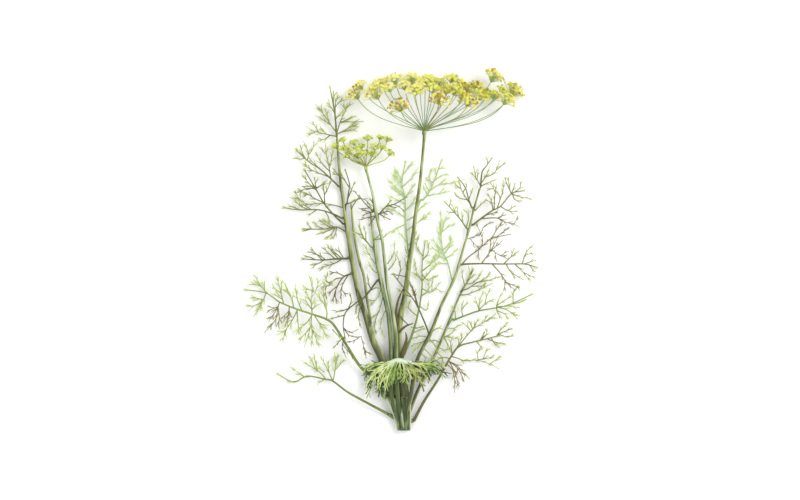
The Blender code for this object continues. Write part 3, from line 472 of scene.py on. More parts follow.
# (x, y, z, radius) along the dried twigs and sheaths that stay on the stems
WITHERED = {
    "stem_main": (
        ((5.5, -84, 9.5, 1.3), (9, -79.5, 11.5, 1.2), (14, -75.5, 12, 1.0), (21, -73, 11.5, 0.4)),
        ((6.5, -64, 10, 0.7), (10, -69, 11.5, 0.6), (14.5, -73.5, 12, 0.5), (16, -75, 12, 0.3)),
        ((8, -108, 10, 1.5), (11.5, -98, 11, 1.9), (14, -89, 11, 1.3), (13, -82, 11, 0.4)),
        ((5, -76, 10.5, 1.5), (3.5, -62, 11.5, 1.4), (6, -49, 11, 1.0), (11, -38, 11, 0.4)),
    ),
    "stem_left": (
        ((-28.5, -62, 7, 1.2), (-31, -50, 8, 1.2), (-35.5, -38, 8, 0.5)),
    ),
}
# how brown these leaf stalks are; the rest are as brown as their leaf
BROWN_STALKS = {"leaf_right_side": 0.6, "leaf_right_fork": 0.45, "leaf_right_low": 0.35}


# ---- colours ------------------------------------------------------------------------------

BROWN = (0.16, 0.105, 0.032)
TEAL = (0.13, 0.33, 0.17)
STEM_COLOURS = ((0.055, 0.070, 0.015), (0.21, 0.245, 0.062), (0.46, 0.52, 0.24))
YOUNG_STEM_COLOURS = ((0.055, 0.090, 0.020), (0.27, 0.34, 0.12), (0.52, 0.62, 0.36))
LEAF_COLOURS = {
    "dark": ((0.045, 0.058, 0.014), (0.15, 0.18, 0.035), (0.44, 0.52, 0.12)),
    "olive": ((0.080, 0.090, 0.020), (0.24, 0.28, 0.055), (0.58, 0.66, 0.18)),
    "green": ((0.10, 0.15, 0.025), (0.29, 0.38, 0.075), (0.60, 0.72, 0.22)),
    "pale": ((0.27, 0.42, 0.14), (0.44, 0.58, 0.19), (0.62, 0.74, 0.32)),
}
RAY_SHADES = [
    (0.0, (0.10, 0.25, 0.13)), (0.35, (0.19, 0.34, 0.17)), (0.65, (0.33, 0.40, 0.13)),
    (1.0, (0.24, 0.19, 0.05)),
]
FLOWER_SHADES = [
    (0.0, (0.30, 0.14, 0.012)), (0.18, (0.60, 0.38, 0.03)), (0.36, (0.54, 0.62, 0.06)),
    (0.56, (0.84, 0.79, 0.10)), (0.78, (0.93, 0.89, 0.27)), (1.0, (0.98, 0.96, 0.66)),
]
LIME_SHADES = [
    (0.0, (0.18, 0.20, 0.02)), (0.25, (0.42, 0.50, 0.03)), (0.55, (0.66, 0.76, 0.06)),
    (1.0, (0.88, 0.92, 0.25)),
]
SMALL_RAY_SHADES = [
    (0.0, (0.22, 0.32, 0.06)), (0.5, (0.38, 0.46, 0.09)), (1.0, (0.30, 0.26, 0.06)),
]
FLOWER_HEART = (0.66, 0.62, 0.08)
LIME_HEART = (0.40, 0.46, 0.05)


# ---- shader maths -------------------------------------------------------------------------


class Wire:
    """A shader socket whose arithmetic adds Math nodes."""

    def __init__(self, paint, socket):
        self.paint, self.socket = paint, socket

    def _maths(self, operation, first, second):
        return self.paint.node("ShaderNodeMath", {"operation": operation}, {0: first, 1: second})

    def __add__(self, other):
        return self._maths("ADD", self, other)

    def __radd__(self, other):
        return self._maths("ADD", other, self)

    def __sub__(self, other):
        return self._maths("SUBTRACT", self, other)

    def __rsub__(self, other):
        return self._maths("SUBTRACT", other, self)

    def __mul__(self, other):
        return self._maths("MULTIPLY", self, other)

    def __rmul__(self, other):
        return self._maths("MULTIPLY", other, self)

    def power(self, exponent):
        return self._maths("POWER", self, exponent)

    def held(self):
        """The value kept between 0 and 1."""
        return self.paint.node(
            "ShaderNodeMath", {"operation": "ADD", "use_clamp": True}, {0: self, 1: 0.0}
        )


class Paint:
    """One material and the nodes that colour it."""

    def __init__(self, name, roughness):
        self.material = bpy.data.materials.new(name)
        self.material.use_nodes = True
        self.tree = self.material.node_tree
        self.shader = self.tree.nodes["Principled BSDF"]
        self.shader.inputs["Roughness"].default_value = roughness

    def node(self, kind, settings=None, values=None, output=0):
        made = self.tree.nodes.new(kind)
        for key, value in (settings or {}).items():
            if key == "stops":
                ramp = made.color_ramp.elements
                while len(ramp) < len(value):
                    ramp.new(0.5)
                for stop, (place, colour) in zip(ramp, value):
                    stop.position = place
                    stop.color = (*colour, 1.0)
            else:
                setattr(made, key, value)
        for key, value in (values or {}).items():
            if isinstance(value, Wire):
                self.tree.links.new(value.socket, made.inputs[key])
            elif isinstance(value, tuple) and len(value) == 3 and made.inputs[key].type == "RGBA":
                made.inputs[key].default_value = (*value, 1.0)
            else:
                made.inputs[key].default_value = value
        return Wire(self, made.outputs[output])

    def place(self):
        return self.node("ShaderNodeTexCoord", output="Object")

    def stretched(self, across, along):
        """Object coordinates squeezed so that a noise runs along Y."""
        return self.node(
            "ShaderNodeMapping", None, {0: self.place(), "Scale": (across, along, across)}
        )

    def noise(self, scale, detail=2.0, where=None):
        return self.node(
            "ShaderNodeTexNoise", None,
            {"Vector": where or self.place(), "Scale": scale, "Detail": detail},
        )

    def attribute(self, name, output="Fac"):
        return self.node("ShaderNodeAttribute", {"attribute_name": name}, output=output)

    def mix(self, factor, first, second):
        return self.node(
            "ShaderNodeMix", {"data_type": "RGBA"}, {0: factor, 6: first, 7: second}, 2
        )

    def ramp(self, value, stops):
        return self.node("ShaderNodeValToRGB", {"stops": stops}, {0: value})

    def finish(self, base, height=None, depth=0.0002, roughness=None):
        links = self.tree.links
        links.new(base.socket, self.shader.inputs["Base Color"])
        if roughness is not None:
            links.new(roughness.socket, self.shader.inputs["Roughness"])
        if height is not None:
            bump = self.node(
                "ShaderNodeBump", None, {"Height": height, "Distance": depth, "Strength": 0.6}
            )
            links.new(bump.socket, self.shader.inputs["Normal"])
        return self.material


def leaf_finish(name, old, middle, young):
    """Thread leaf: its axis the older colour, its tips the young one, brown where it dries."""
    paint = Paint(name, 0.52)
    tone, dry = paint.attribute("tone"), paint.attribute("dry")
    patch = paint.noise(120.0, 3.0)
    fine = paint.noise(900.0, 2.0)
    colour = paint.ramp(
        (tone + (patch - 0.5) * 0.55).held(), [(0.0, old), (0.45, middle), (1.0, young)]
    )
    colour = paint.mix(paint.attribute("cast").held() * 0.85, colour, TEAL)
    browned = (dry * 1.3 + (patch - 0.62) * 1.4).held()
    colour = paint.mix(browned * 0.75, colour, BROWN)
    return paint.finish(colour, fine, 0.00015, roughness=0.45 + fine * 0.2)


def stem_finish(name, dark, middle, light):
    """Ribbed stem: pale ribs, darker grooves, long streaks and a bloom in places, with one side painted
    lighter and the other darker as painted light and shade.
    """
    paint = Paint(name, 0.45)
    round_ = paint.attribute("round", "Vector")
    # side is the profile's x across the stem; below it paints one side lighter and the other darker, as
    # painted light and shade
    side = paint.node("ShaderNodeSeparateXYZ", None, {0: round_})
    rib, tone = paint.attribute("rib"), paint.attribute("tone")
    streak = paint.noise(1.0, 3.0, paint.stretched(420.0, 22.0))
    blotch = paint.noise(45.0, 3.0)
    shaded = paint.attribute("cast").held()
    # side * 0.44 is painted light and shade: one side of the stem lighter, the other darker
    level = 0.20 + (streak - 0.5) * 1.5 + (blotch - 0.5) * 0.9 + rib * 0.24 + side * 0.44
    level = level - shaded * 0.70
    colour = paint.ramp(
        (level + tone * 0.26).held(), [(0.10, dark), (0.45, middle), (0.85, light)]
    )
    dry = paint.attribute("dry")
    colour = paint.mix((dry + (blotch - 0.66) * 1.2).held() * 0.6, colour, BROWN)
    height = rib + streak * 0.5
    return paint.finish(colour, height, 0.0004, roughness=0.36 + streak * 0.25)


def ray_finish(name, shades):
    """Umbel ray: blue-green to olive brown, each ray with its own cast."""
    paint = Paint(name, 0.45)
    cast, tone = paint.attribute("cast"), paint.attribute("tone")
    patch = paint.noise(90.0, 2.0)
    colour = paint.ramp((cast + (patch - 0.5) * 0.35).held(), shades)
    colour = paint.mix(tone.power(2.0) * 0.85, colour, (0.66, 0.70, 0.20))
    colour = paint.mix((1.0 - tone * 12.0).held() * 0.6, colour, (0.30, 0.32, 0.10))
    return paint.finish(colour, paint.noise(700.0), 0.0001, roughness=0.4 + patch * 0.15)


def flower_finish(name, shades, heart):
    """Florets: each with its own shade from ripe brown to pale cream, the heart greener."""
    paint = Paint(name, 0.6)
    cast, petal = paint.attribute("cast"), paint.attribute("petal")
    patch = paint.noise(520.0, 2.0)
    colour = paint.ramp((cast + (patch - 0.5) * 0.22).held(), shades)
    colour = paint.mix((1.0 - petal) * 0.4, colour, heart)
    return paint.finish(colour, patch, 0.0002, roughness=0.5 + patch * 0.2)


def crown_finish():
    """Foot of the plant: dark green and olive streaks between pale, bloomy sheath edges."""
    paint = Paint("crown fibres", 0.55)
    streak = paint.noise(1.0, 4.0, paint.stretched(330.0, 26.0))
    fine = paint.noise(1.0, 2.0, paint.stretched(1100.0, 60.0))
    blotch = paint.noise(60.0, 3.0)
    ridge, cut = paint.attribute("ridge"), paint.attribute("cut")
    level = 0.20 + (streak - 0.5) * 1.8 + (blotch - 0.5) * 1.1 + ridge * 0.24
    colour = paint.ramp(level.held(), [
        (0.08, (0.020, 0.034, 0.006)), (0.36, (0.070, 0.105, 0.020)),
        (0.62, (0.19, 0.23, 0.06)), (0.95, (0.46, 0.50, 0.24)),
    ])
    bloom = (paint.attribute("edge") * 1.1 + (streak - 0.5) * 1.4 + (blotch - 0.6) * 0.9).held()
    colour = paint.mix(bloom * 0.85, colour, (0.58, 0.68, 0.50))
    low = (0.8 - paint.attribute("rise") * 3.6 + (blotch - 0.5) * 1.6).held()
    colour = paint.mix(low * 0.5, colour, (0.045, 0.12, 0.06))
    fresh = paint.ramp((cut + (fine - 0.5) * 0.3).held(), [
        (0.0, (0.20, 0.26, 0.08)), (0.35, (0.52, 0.58, 0.27)), (1.0, (0.78, 0.80, 0.58)),
    ])
    face = paint.attribute("face")
    colour = paint.mix(face, colour, fresh)
    return paint.finish(
        colour, ridge * 0.6 + fine * 0.5, 0.0006, roughness=0.45 + streak * 0.25
    )


# ---- geometry trees -----------------------------------------------------------------------


class Bench:
    """A Geometry Nodes tree under construction."""

    def __init__(self, name, inputs):
        self.tree = bpy.data.node_groups.new(name, "GeometryNodeTree")
        face = self.tree.interface
        face.new_socket("Geometry", in_out="INPUT", socket_type="NodeSocketGeometry")
        self.keys = {
            label: face.new_socket(label, in_out="INPUT", socket_type=kind).identifier
            for label, kind in inputs
        }
        face.new_socket("Geometry", in_out="OUTPUT", socket_type="NodeSocketGeometry")
        self.given = self.tree.nodes.new("NodeGroupInput")
        self.made = self.tree.nodes.new("NodeGroupOutput")

    def node(self, kind, settings=None, values=None):
        made = self.tree.nodes.new(kind)
        for key, value in (settings or {}).items():
            setattr(made, key, value)
        for key, value in (values or {}).items():
            if isinstance(value, bpy.types.NodeSocket):
                self.tree.links.new(value, made.inputs[key])
            elif isinstance(value, (list, tuple)) and value and isinstance(
                value[0], bpy.types.NodeSocket
            ):
                for one in value:
                    self.tree.links.new(one, made.inputs[key])
            else:
                made.inputs[key].default_value = value
        return made.outputs

    def read(self, name, kind="FLOAT"):
        return self.node("GeometryNodeInputNamedAttribute", {"data_type": kind}, {"Name": name})[
            "Attribute"
        ]

    def part_of(self, geometry, kind):
        """The points of one kind: thread, stalk, strap or flower."""
        chosen = self.node(
            "FunctionNodeCompare", {"operation": "EQUAL"},
            {0: self.read("kind"), 1: kind, "Epsilon": 0.1},
        )[0]
        return self.node(
            "GeometryNodeSeparateGeometry", {"domain": "POINT"},
            {"Geometry": geometry, "Selection": chosen},
        )["Selection"]

    def swept(self, lines, profile):
        """Lines of edges swept with a profile, as thick as each point says."""
        curve = self.node("GeometryNodeMeshToCurve", None, {"Mesh": lines})["Curve"]
        curve = self.node(
            "GeometryNodeSetCurveNormal", {"mode": "Z_UP"}, {"Curve": curve}
        )["Curve"]
        tube = self.node(
            "GeometryNodeCurveToMesh", None,
            {"Curve": curve, "Profile Curve": profile, "Scale": self.read("thick"),
             "Fill Caps": True},
        )["Mesh"]
        return self.node("GeometryNodeSetShadeSmooth", None, {0: tube})[0]

    def ring(self, sides):
        return self.node(
            "GeometryNodeCurvePrimitiveCircle", None, {"Resolution": sides, "Radius": 1.0}
        )["Curve"]

    def marked(self, profile):
        """The profile with each point's place round the stem kept for the finish."""
        where = self.node("GeometryNodeInputPosition")[0]
        return self.node(
            "GeometryNodeStoreNamedAttribute", {"data_type": "FLOAT_VECTOR", "domain": "POINT"},
            {"Geometry": profile, "Name": "round", "Value": where},
        )["Geometry"]


def growth_tree():
    """Sweeps a skeleton's threads, ribbed stalks and straps, and sets florets on its points."""
    bench = Bench("growth", (
        ("Thread sides", "NodeSocketInt"), ("Rib count", "NodeSocketInt"),
        ("Groove", "NodeSocketFloat"), ("Strap height", "NodeSocketFloat"),
        ("Floret", "NodeSocketObject"), ("Green finish", "NodeSocketMaterial"),
        ("Flower finish", "NodeSocketMaterial"),
    ))
    given = bench.given.outputs
    skeleton = given["Geometry"]
    threads = bench.swept(
        bench.part_of(skeleton, THREAD), bench.marked(bench.ring(given["Thread sides"]))
    )
    star = bench.node("GeometryNodeCurveStar", None, {
        "Points": given["Rib count"], "Inner Radius": given["Groove"], "Outer Radius": 1.0,
    })
    ribbed = bench.node(
        "GeometryNodeStoreNamedAttribute", {"data_type": "FLOAT", "domain": "POINT"},
        {"Geometry": star["Curve"], "Name": "rib", "Value": star["Outer Points"]},
    )["Geometry"]
    stalks = bench.swept(bench.part_of(skeleton, STALK), bench.marked(ribbed))
    squeeze = bench.node("ShaderNodeCombineXYZ", None, {0: 1.0, 1: given["Strap height"], 2: 1.0})
    flat = bench.node(
        "GeometryNodeTransform", None, {"Geometry": bench.ring(8), "Scale": squeeze[0]}
    )["Geometry"]
    straps = bench.swept(bench.part_of(skeleton, STRAP), bench.marked(flat))
    green = bench.node("GeometryNodeJoinGeometry", None, {"Geometry": [threads, stalks, straps]})
    green = bench.node(
        "GeometryNodeSetMaterial", None,
        {"Geometry": green["Geometry"], "Material": given["Green finish"]},
    )["Geometry"]
    points = bench.node(
        "GeometryNodeMeshToPoints", None,
        {"Mesh": bench.part_of(skeleton, FLOWER), "Radius": 0.001},
    )["Points"]
    floret = bench.node("GeometryNodeObjectInfo", None, {"Object": given["Floret"]})["Geometry"]
    facing = bench.node(
        "FunctionNodeAlignRotationToVector", {"axis": "Z"},
        {"Vector": bench.read("facing", "FLOAT_VECTOR")},
    )["Rotation"]
    spin = bench.node(
        "FunctionNodeAxisAngleToRotation", None,
        {"Axis": (0.0, 0.0, 1.0), "Angle": bench.read("spin")},
    )["Rotation"]
    turned = bench.node(
        "FunctionNodeRotateRotation", {"rotation_space": "LOCAL"},
        {"Rotation": facing, "Rotate By": spin},
    )["Rotation"]
    placed = bench.node(
        "GeometryNodeInstanceOnPoints", None,
        {"Points": points, "Instance": floret, "Rotation": turned,
         "Scale": bench.read("thick")},
    )["Instances"]
    flowers = bench.node("GeometryNodeRealizeInstances", None, {"Geometry": placed})["Geometry"]
    flowers = bench.node(
        "GeometryNodeSetMaterial", None,
        {"Geometry": flowers, "Material": given["Flower finish"]},
    )["Geometry"]
    whole = bench.node("GeometryNodeJoinGeometry", None, {"Geometry": [green, flowers]})
    whole = bench.node(
        "GeometryNodeRealizeInstances", None, {"Geometry": whole["Geometry"]}
    )["Geometry"]
    bench.tree.links.new(whole, bench.made.inputs["Geometry"])
    return bench


# ---- skeletons ----------------------------------------------------------------------------


class Skeleton:
    """Lines and points, in millimetres, from which one piece is grown."""

    FIELDS = ("thick", "kind", "tone", "dry", "cast", "spin")

    def __init__(self):
        self.points, self.edges, self.facing = [], [], []
        self.fields = {name: [] for name in self.FIELDS}

    def _point(self, place, facing=(0, 0, 1), **values):
        self.points.append(tuple(c * MM for c in place))
        self.facing.append(tuple(facing))
        for name in self.FIELDS:
            self.fields[name].append(values.get(name, 0.0))

    def line(self, route, kind=THREAD, tones=(0.0, 0.0), dry=0.0, casts=(0.0, 0.0)):
        """A line of (x, y, z, radius) points, tone and cast going from one value to the other."""
        first = len(self.points)
        last = len(route) - 1
        for i, point in enumerate(route):
            tone, cast = (a + (b - a) * i / last for a, b in (tones, casts))
            self._point(
                point[:3], thick=point[3] * MM, kind=kind, tone=tone, dry=dry, cast=cast
            )
            if i:
                self.edges.append((first + i - 1, first + i))

    def floret(self, place, facing, size, cast, spin):
        self._point(place, facing, thick=size * MM, kind=FLOWER, cast=cast, spin=spin)

    def mesh(self, name):
        mesh = bpy.data.meshes.new(name)
        mesh.from_pydata(self.points, self.edges, [])
        for field, values in self.fields.items():
            mesh.attributes.new(field, "FLOAT", "POINT").data.foreach_set("value", values)
        flat = [c for facing in self.facing for c in facing]
        mesh.attributes.new("facing", "FLOAT_VECTOR", "POINT").data.foreach_set("vector", flat)
        return mesh


def smooth_route(points, steps):
    """A Catmull-Rom curve through the points; each point may carry a radius as its last value."""
    ends = [points[0], *points, points[-1]]
    found = []
    for a, b, c, d in zip(ends, ends[1:], ends[2:], ends[3:]):
        for k in range(steps):
            t = k / steps
            found.append(tuple(
                0.5 * (2 * q + (r - p) * t + (2 * p - 5 * q + 4 * r - s) * t * t
                       + (3 * q - p - 3 * r + s) * t * t * t)
                for p, q, r, s in zip(a, b, c, d)
            ))
    found.append(tuple(points[-1]))
    return found


def point_on(route, fraction):
    """The place and the direction at a fraction of the way along a route."""
    place = fraction * (len(route) - 1)
    i = min(int(place), len(route) - 2)
    a, b = Vector(route[i][:3]), Vector(route[i + 1][:3])
    return a.lerp(b, place - i), (b - a).normalized()


def turned(direction, degrees):
    return Matrix.Rotation(math.radians(degrees), 3, "Z") @ direction


def bowed(start, end, bow, lift, steps, radii):
    """A route from start to end that bends sideways by bow and up by lift."""
    span = end - start
    across = Vector((-span.y, span.x, 0))
    across = across.normalized() if across.length > 1e-6 else Vector((1, 0, 0))
    route = []
    for k in range(steps + 1):
        t = k / steps
        swell = math.sin(math.pi * t)
        place = start.lerp(end, t) + across * bow * swell + Vector((0, 0, lift * swell))
        route.append((*place, radii[0] + (radii[1] - radii[0]) * t))
    return route


def kept_up(point):
    point.z = max(FLOOR_CLEARANCE, point.z)
    return point


def segment(skeleton, start, heading, length, rng, tone, dry, forks=0):
    """A fine leaf segment, straight and tapered, with as many forks as asked for."""
    end = kept_up(start + heading * length + Vector((0, 0, rng.uniform(-0.9, 1.0))))
    route = bowed(start, end, rng.uniform(-0.05, 0.05) * length, 0.02 * length, 3, (0.44, 0.24))
    skeleton.line(route, THREAD, (tone, min(1.0, tone + 0.35)), dry)
    way = rng.choice((-1, 1))
    for k in range(forks):
        foot, ahead = point_on(route, rng.uniform(0.30, 0.45) + 0.2 * k)
        segment(skeleton, foot, turned(ahead, way * rng.uniform(16, 28)),
                length * rng.uniform(0.50, 0.70), rng, min(1.0, tone + 0.25), dry)
        way = -way


def branch(skeleton, route, fine, rng, dry):
    """A drawn leaf branch with fine segments to either side of it in turn."""
    skeleton.line(route, THREAD, (0.15, 0.75), dry)
    length = sum((Vector(a[:3]) - Vector(b[:3])).length for a, b in zip(route, route[1:]))
    count = round(length / 7.0 - 0.3)
    way = rng.choice((-1, 1))
    for k in range(count):
        fraction = 0.24 + 0.56 * (k + rng.uniform(0.1, 0.8)) / count
        foot, ahead = point_on(route, fraction)
        reach = fine * (1.5 - 0.6 * fraction) * rng.uniform(0.7, 1.15)
        segment(skeleton, foot, turned(ahead, way * rng.uniform(18, 34)), reach, rng,
                0.45, dry, 1 if reach > 5.0 and rng.random() < 0.5 else 0)
        way = -way
    foot, ahead = point_on(route, rng.uniform(0.62, 0.8))
    segment(skeleton, foot, turned(ahead, way * rng.uniform(12, 20)),
            fine * rng.uniform(0.8, 1.1), rng, 0.6, dry)


def nearest_on(route, place):
    """The number of the route's point that is nearest to a place."""
    return min(range(len(route)), key=lambda i: (Vector(route[i][:3]) - place).length)


def crown_middle(y):
    """The middle of the crown at a place along it."""
    for (x0, y0, _, h0), (x1, y1, _, h1) in zip(CROWN_RINGS, CROWN_RINGS[1:]):
        if y0 <= y <= y1:
            t = (y - y0) / (y1 - y0)
            return Vector((x0 + (x1 - x0) * t, y, h0 + (h1 - h0) * t))
    return Vector((CROWN_RINGS[-1][0], y, CROWN_RINGS[-1][3]))


def sheath(name, foot):
    """Points that lead from inside the parent stem, round its side, to the foot of a branch."""
    parent = PARENTS.get(name)
    if parent is None:
        inward = crown_middle(max(foot.y - 8.0, INNER_END))
        return [(*inward, 2.0), (*inward.lerp(foot, 0.6), 2.3)]
    route = smooth_route(STEMS[parent], 6)
    i = nearest_on(route, foot)
    below = i
    while below > 0 and (Vector(route[below][:3]) - Vector(route[i][:3])).length < SHEATH_LENGTH:
        below -= 1
    low, level = Vector(route[below][:3]), Vector(route[i][:3])
    wide = route[i][3]
    return [
        (*low.lerp(foot, 0.10), 0.60 * wide),
        (*low.lerp(level, 0.55).lerp(foot, 0.34), 0.58 * wide),
        (*level.lerp(foot, 0.55), 0.40 * wide + 0.3),
    ]


def leaf_skeleton(name):
    """A leaf: its ribbed stalk out of a sheath, the drawn branches, and fine segments on each."""
    stalk, foot_radius, fine, _, dry, branches, dried = LEAVES[name]
    rng = random.Random(len(name) * 31 + ord(name[-1]))
    skeleton = Skeleton()
    route = smooth_route(stalk, 8)
    last = len(route) - 1
    route = [
        (*p, foot_radius + (STALK_TIP - foot_radius) * (i / last) ** 0.7) for i, p in enumerate(route)
    ]
    whole = smooth_route([*sheath(name, Vector(stalk[0])), route[0], route[2]], 3)[:-3] + route
    teal = TEAL_FEET.get(name, 0.0)
    skeleton.line(whole, STALK, (0.0, 0.35), BROWN_STALKS.get(name, dry * 0.6),
                  (1.3 * teal, -2.4 * teal))
    tip, ahead = point_on(route, 1.0)
    for way in (-1, 0, 1):
        segment(skeleton, tip, turned(ahead, way * 18), fine * 0.8, rng, 0.6, dry)
    lines = list(route)
    for flat, brown in [(b, dry) for b in branches] + [(b, 0.85) for b in dried]:
        places = [Vector((x, y, 0)) for x, y in zip(flat[::2], flat[1::2])]
        start = min(lines, key=lambda p: (p[0] - places[0].x) ** 2 + (p[1] - places[0].y) ** 2)
        if (Vector(start[:3]) - places[0]).xy.length < JOINT_REACH:
            places[0] = Vector(start[:3])
        span = sum((a - b).xy.length for a, b in zip(places, places[1:]))
        drop = min(start[2] - 1.2, rng.uniform(-0.10, 0.22) * span)
        drawn = []
        for i, place in enumerate(places):
            t = i / (len(places) - 1)
            radius = min(BRANCH_FOOT, start[3]) * (1 - t) + BRANCH_TIP * t
            drawn.append((place.x, place.y, max(FLOOR_CLEARANCE, start[2] - drop * t), radius))
        drawn = smooth_route(drawn, 5)
        branch(skeleton, drawn, fine * 0.9, rng, brown)
        lines += drawn
    return skeleton


def stem_skeleton(name):
    """A stem from inside the crown or its parent, swollen at each joint, with its dried twigs."""
    rng = random.Random(len(name))
    skeleton = Skeleton()
    joints = [Vector(LEAVES[leaf][0][0]) for leaf, stem in PARENTS.items()
              if stem == name and leaf in LEAVES]
    points = list(STEMS[name])
    x, y, z, radius = points[0]
    if PARENTS.get(name):
        points = [*sheath(name, Vector(points[0][:3])), *points]
    else:
        middle = crown_middle(y - 20.0)
        inside = (0.35 * x + 0.65 * middle.x, y - 22.0, 0.5 * (z + middle.z), radius * 0.8)
        points.insert(0, inside)
    if name == "stem_main":
        points += [(*(HUB - Vector((0, 0.8, 0.2))), 2.1), (*(HUB + Vector((0, 1.2, 0.2))), 1.2)]
    if name in OPEN_ENDED:
        foot, ahead = point_on(points, 1.0)
        points.append((*(foot + ahead * 7.0), points[-1][3] * 0.55))
    route = []
    for x, y, z, radius in smooth_route(points, 9):
        place = Vector((x, y, z))
        swell = sum(0.24 * math.exp(-((place - joint).length / 4.5) ** 2) for joint in joints)
        route.append((x, y, z, radius * (1.0 + min(swell, 0.3) + rng.uniform(-0.015, 0.015))))
    shade = SHADED_FEET.get(name, FOOT_SHADE)
    skeleton.line(route, STALK, (0.0, 1.0), 0.0, (shade, -1.6 * shade))
    for places in WITHERED.get(name, ()):
        skeleton.line(smooth_route(places, 5), STALK, (0.0, 0.4), 1.0, (0.9, 0.6))
    return skeleton


def spread(headings):
    """The headings moved apart until no two are closer than LEAST_SPREAD."""
    headings = [h.normalized() for h in headings]
    for _ in range(200):
        for i, first in enumerate(headings):
            for j in range(i + 1, len(headings)):
                apart = headings[j] - first
                if apart.length < LEAST_SPREAD:
                    push = apart.normalized() * (LEAST_SPREAD - apart.length) * 0.5
                    headings[j] = (headings[j] + push).normalized()
                    first = headings[i] = (first - push).normalized()
    return headings


Head = collections.namedtuple("Head", "centre radius florets size shades ray")


def add_umbellet(skeleton, hub, hub_radius, heading, head, rng):
    """A ray from the hub, its fan of short stalks, and a floret on each."""
    foot = hub + heading * hub_radius
    centre, radius, count, size, shades, thick = head
    reach = (centre - foot).length
    axis = (centre - foot).normalized().lerp(Vector((0, 1, 0.15)), 0.45).normalized()
    neck = centre - axis * 0.72 * radius
    first, second = foot + heading * 0.35 * reach, neck - axis * 0.3 * reach
    cast = rng.random()
    route = [(*hub, thick * 1.25)]
    for k in range(RAY_STEPS + 1):
        t = k / RAY_STEPS
        place = (foot * (1 - t) ** 3 + first * (3 * t * (1 - t) ** 2)
                 + second * (3 * t * t * (1 - t)) + neck * t ** 3)
        route.append((*place, thick * (1.08 - 0.22 * math.sin(math.pi * t))))
    skeleton.line(route, THREAD, (0.0, 0.35), 0.0, (cast, cast))
    side = axis.cross(Vector((1, 0.2, 0))).normalized()
    over = axis.cross(side)
    ripe, low, high = shades
    for k in range(count):
        far = math.sqrt((k + 0.4) / count) * rng.uniform(0.86, 1.08)
        angle = k * GOLDEN_ANGLE + rng.uniform(-0.3, 0.3)
        outward = side * math.cos(angle) + over * math.sin(angle)
        top = centre + outward * far * radius * 0.95
        top += axis * radius * (0.30 - 0.50 * far * far + rng.uniform(-0.22, 0.18))
        top.z = max(top.z, FLORET_CLEARANCE)
        bend = neck.lerp(top, 0.5) + (axis * 0.02 - outward * 0.06) * radius
        stalk = [(*neck, 0.28), (*bend, 0.2), (*top, 0.22)]
        skeleton.line(smooth_route(stalk, 2), THREAD, (0.6, 1.0), 0.0, (cast, cast))
        facing = (axis * 0.6 + outward * far * 0.9 + Vector((0, 0, 0.45))).normalized()
        shade = rng.uniform(0.0, 0.2) if rng.random() < ripe else rng.uniform(low, high)
        skeleton.floret(top, facing, size * rng.uniform(0.7, 1.15), shade, rng.uniform(0, 6.28))


def nearest_umbellet(place):
    """The number of the umbellet whose middle is nearest to a place, seen from above."""
    spans = [math.hypot(x - place.x, y - place.y) for x, y, *_ in UMBELLETS]
    return spans.index(min(spans)) + 1


def umbellet_skeletons():
    """Each umbellet of the large umbel, with the lesser heads that are nearest to it."""
    headings = spread([Vector((x, y - 2.2 * bow, z)) - HUB for x, y, z, _, bow in UMBELLETS])
    for number, (x, y, z, radius, _) in enumerate(UMBELLETS, 1):
        rng = random.Random(number * 17)
        skeleton = Skeleton()
        shades = FLORET_SHADES[number]
        head = Head(Vector((x, y, z)), radius * 1.40, round(5.8 * radius), 1.68, shades, 0.42)
        add_umbellet(skeleton, HUB, HUB_RADIUS, headings[number - 1], head, rng)
        for *place, extra in UMBEL_FILLERS:
            centre = Vector(place)
            if nearest_umbellet(centre) == number:
                heading = (centre - Vector((0, 8, 0)) - HUB).normalized()
                head = Head(centre, extra, round(4.2 * extra), 1.62, shades, 0.38)
                add_umbellet(skeleton, HUB, HUB_RADIUS, heading, head, rng)
        yield f"umbellet_{number:02d}", skeleton


def small_umbel_skeleton():
    """The small umbel: a knob on top of its stem, and young heads on rays from it."""
    skeleton = Skeleton()
    rng = random.Random(91)
    knob = [
        (*(SMALL_HUB - Vector((0, 3.0, 0.6))), 1.4), (*(SMALL_HUB - Vector((0, 1, 0.2))), 1.6),
        (*SMALL_HUB, 1.7), (*(SMALL_HUB + Vector((0, 1.4, 0.4))), 0.9),
    ]
    skeleton.line(knob, THREAD, (0.3, 0.6), 0.0, (0.5, 0.5))
    for x, y, z, radius in SMALL_UMBELLETS + SMALL_FILLERS:
        centre = Vector((x, y, z))
        heading = (centre - SMALL_HUB).normalized()
        head = Head(centre, radius * 1.25, 20, 1.3, (0.18, 0.35, 1.0), 0.42)
        add_umbellet(skeleton, SMALL_HUB, SMALL_HUB_RADIUS, heading, head, rng)
    return skeleton


def leaflet(skeleton, places, rng, wide, cast, side_lobes, dry):
    """A drooping flat leaflet through the places given, with lobes that point to its tip."""
    route = smooth_route([(*p, 0.0) for p in places], 5)
    last = len(route) - 1
    route = [(*p[:3], wide * (0.55 + 0.45 * math.sin(math.pi * min(1.0, 0.15 + 0.8 * k / last))))
             for k, p in enumerate(route)]
    skeleton.line(route, STRAP, (1.0, rng.uniform(-0.2, 0.3)), dry, (cast, cast))
    way = rng.choice((-1, 1))
    for k in range(side_lobes):
        start, ahead = point_on(route, 0.40 + 0.50 * (k + rng.uniform(0.1, 0.6)) / side_lobes)
        end = start + turned(ahead, way * rng.uniform(18, 42)) * rng.uniform(4.5, 9.5)
        end.z -= rng.uniform(0.0, 1.4)
        lobe = bowed(start, end, way * rng.uniform(-0.8, 0.1), 0.3, 5, (wide * 0.7, 0.24))
        skeleton.line(lobe, STRAP, (0.35, 0.0), dry, (cast, cast))
        way = -way


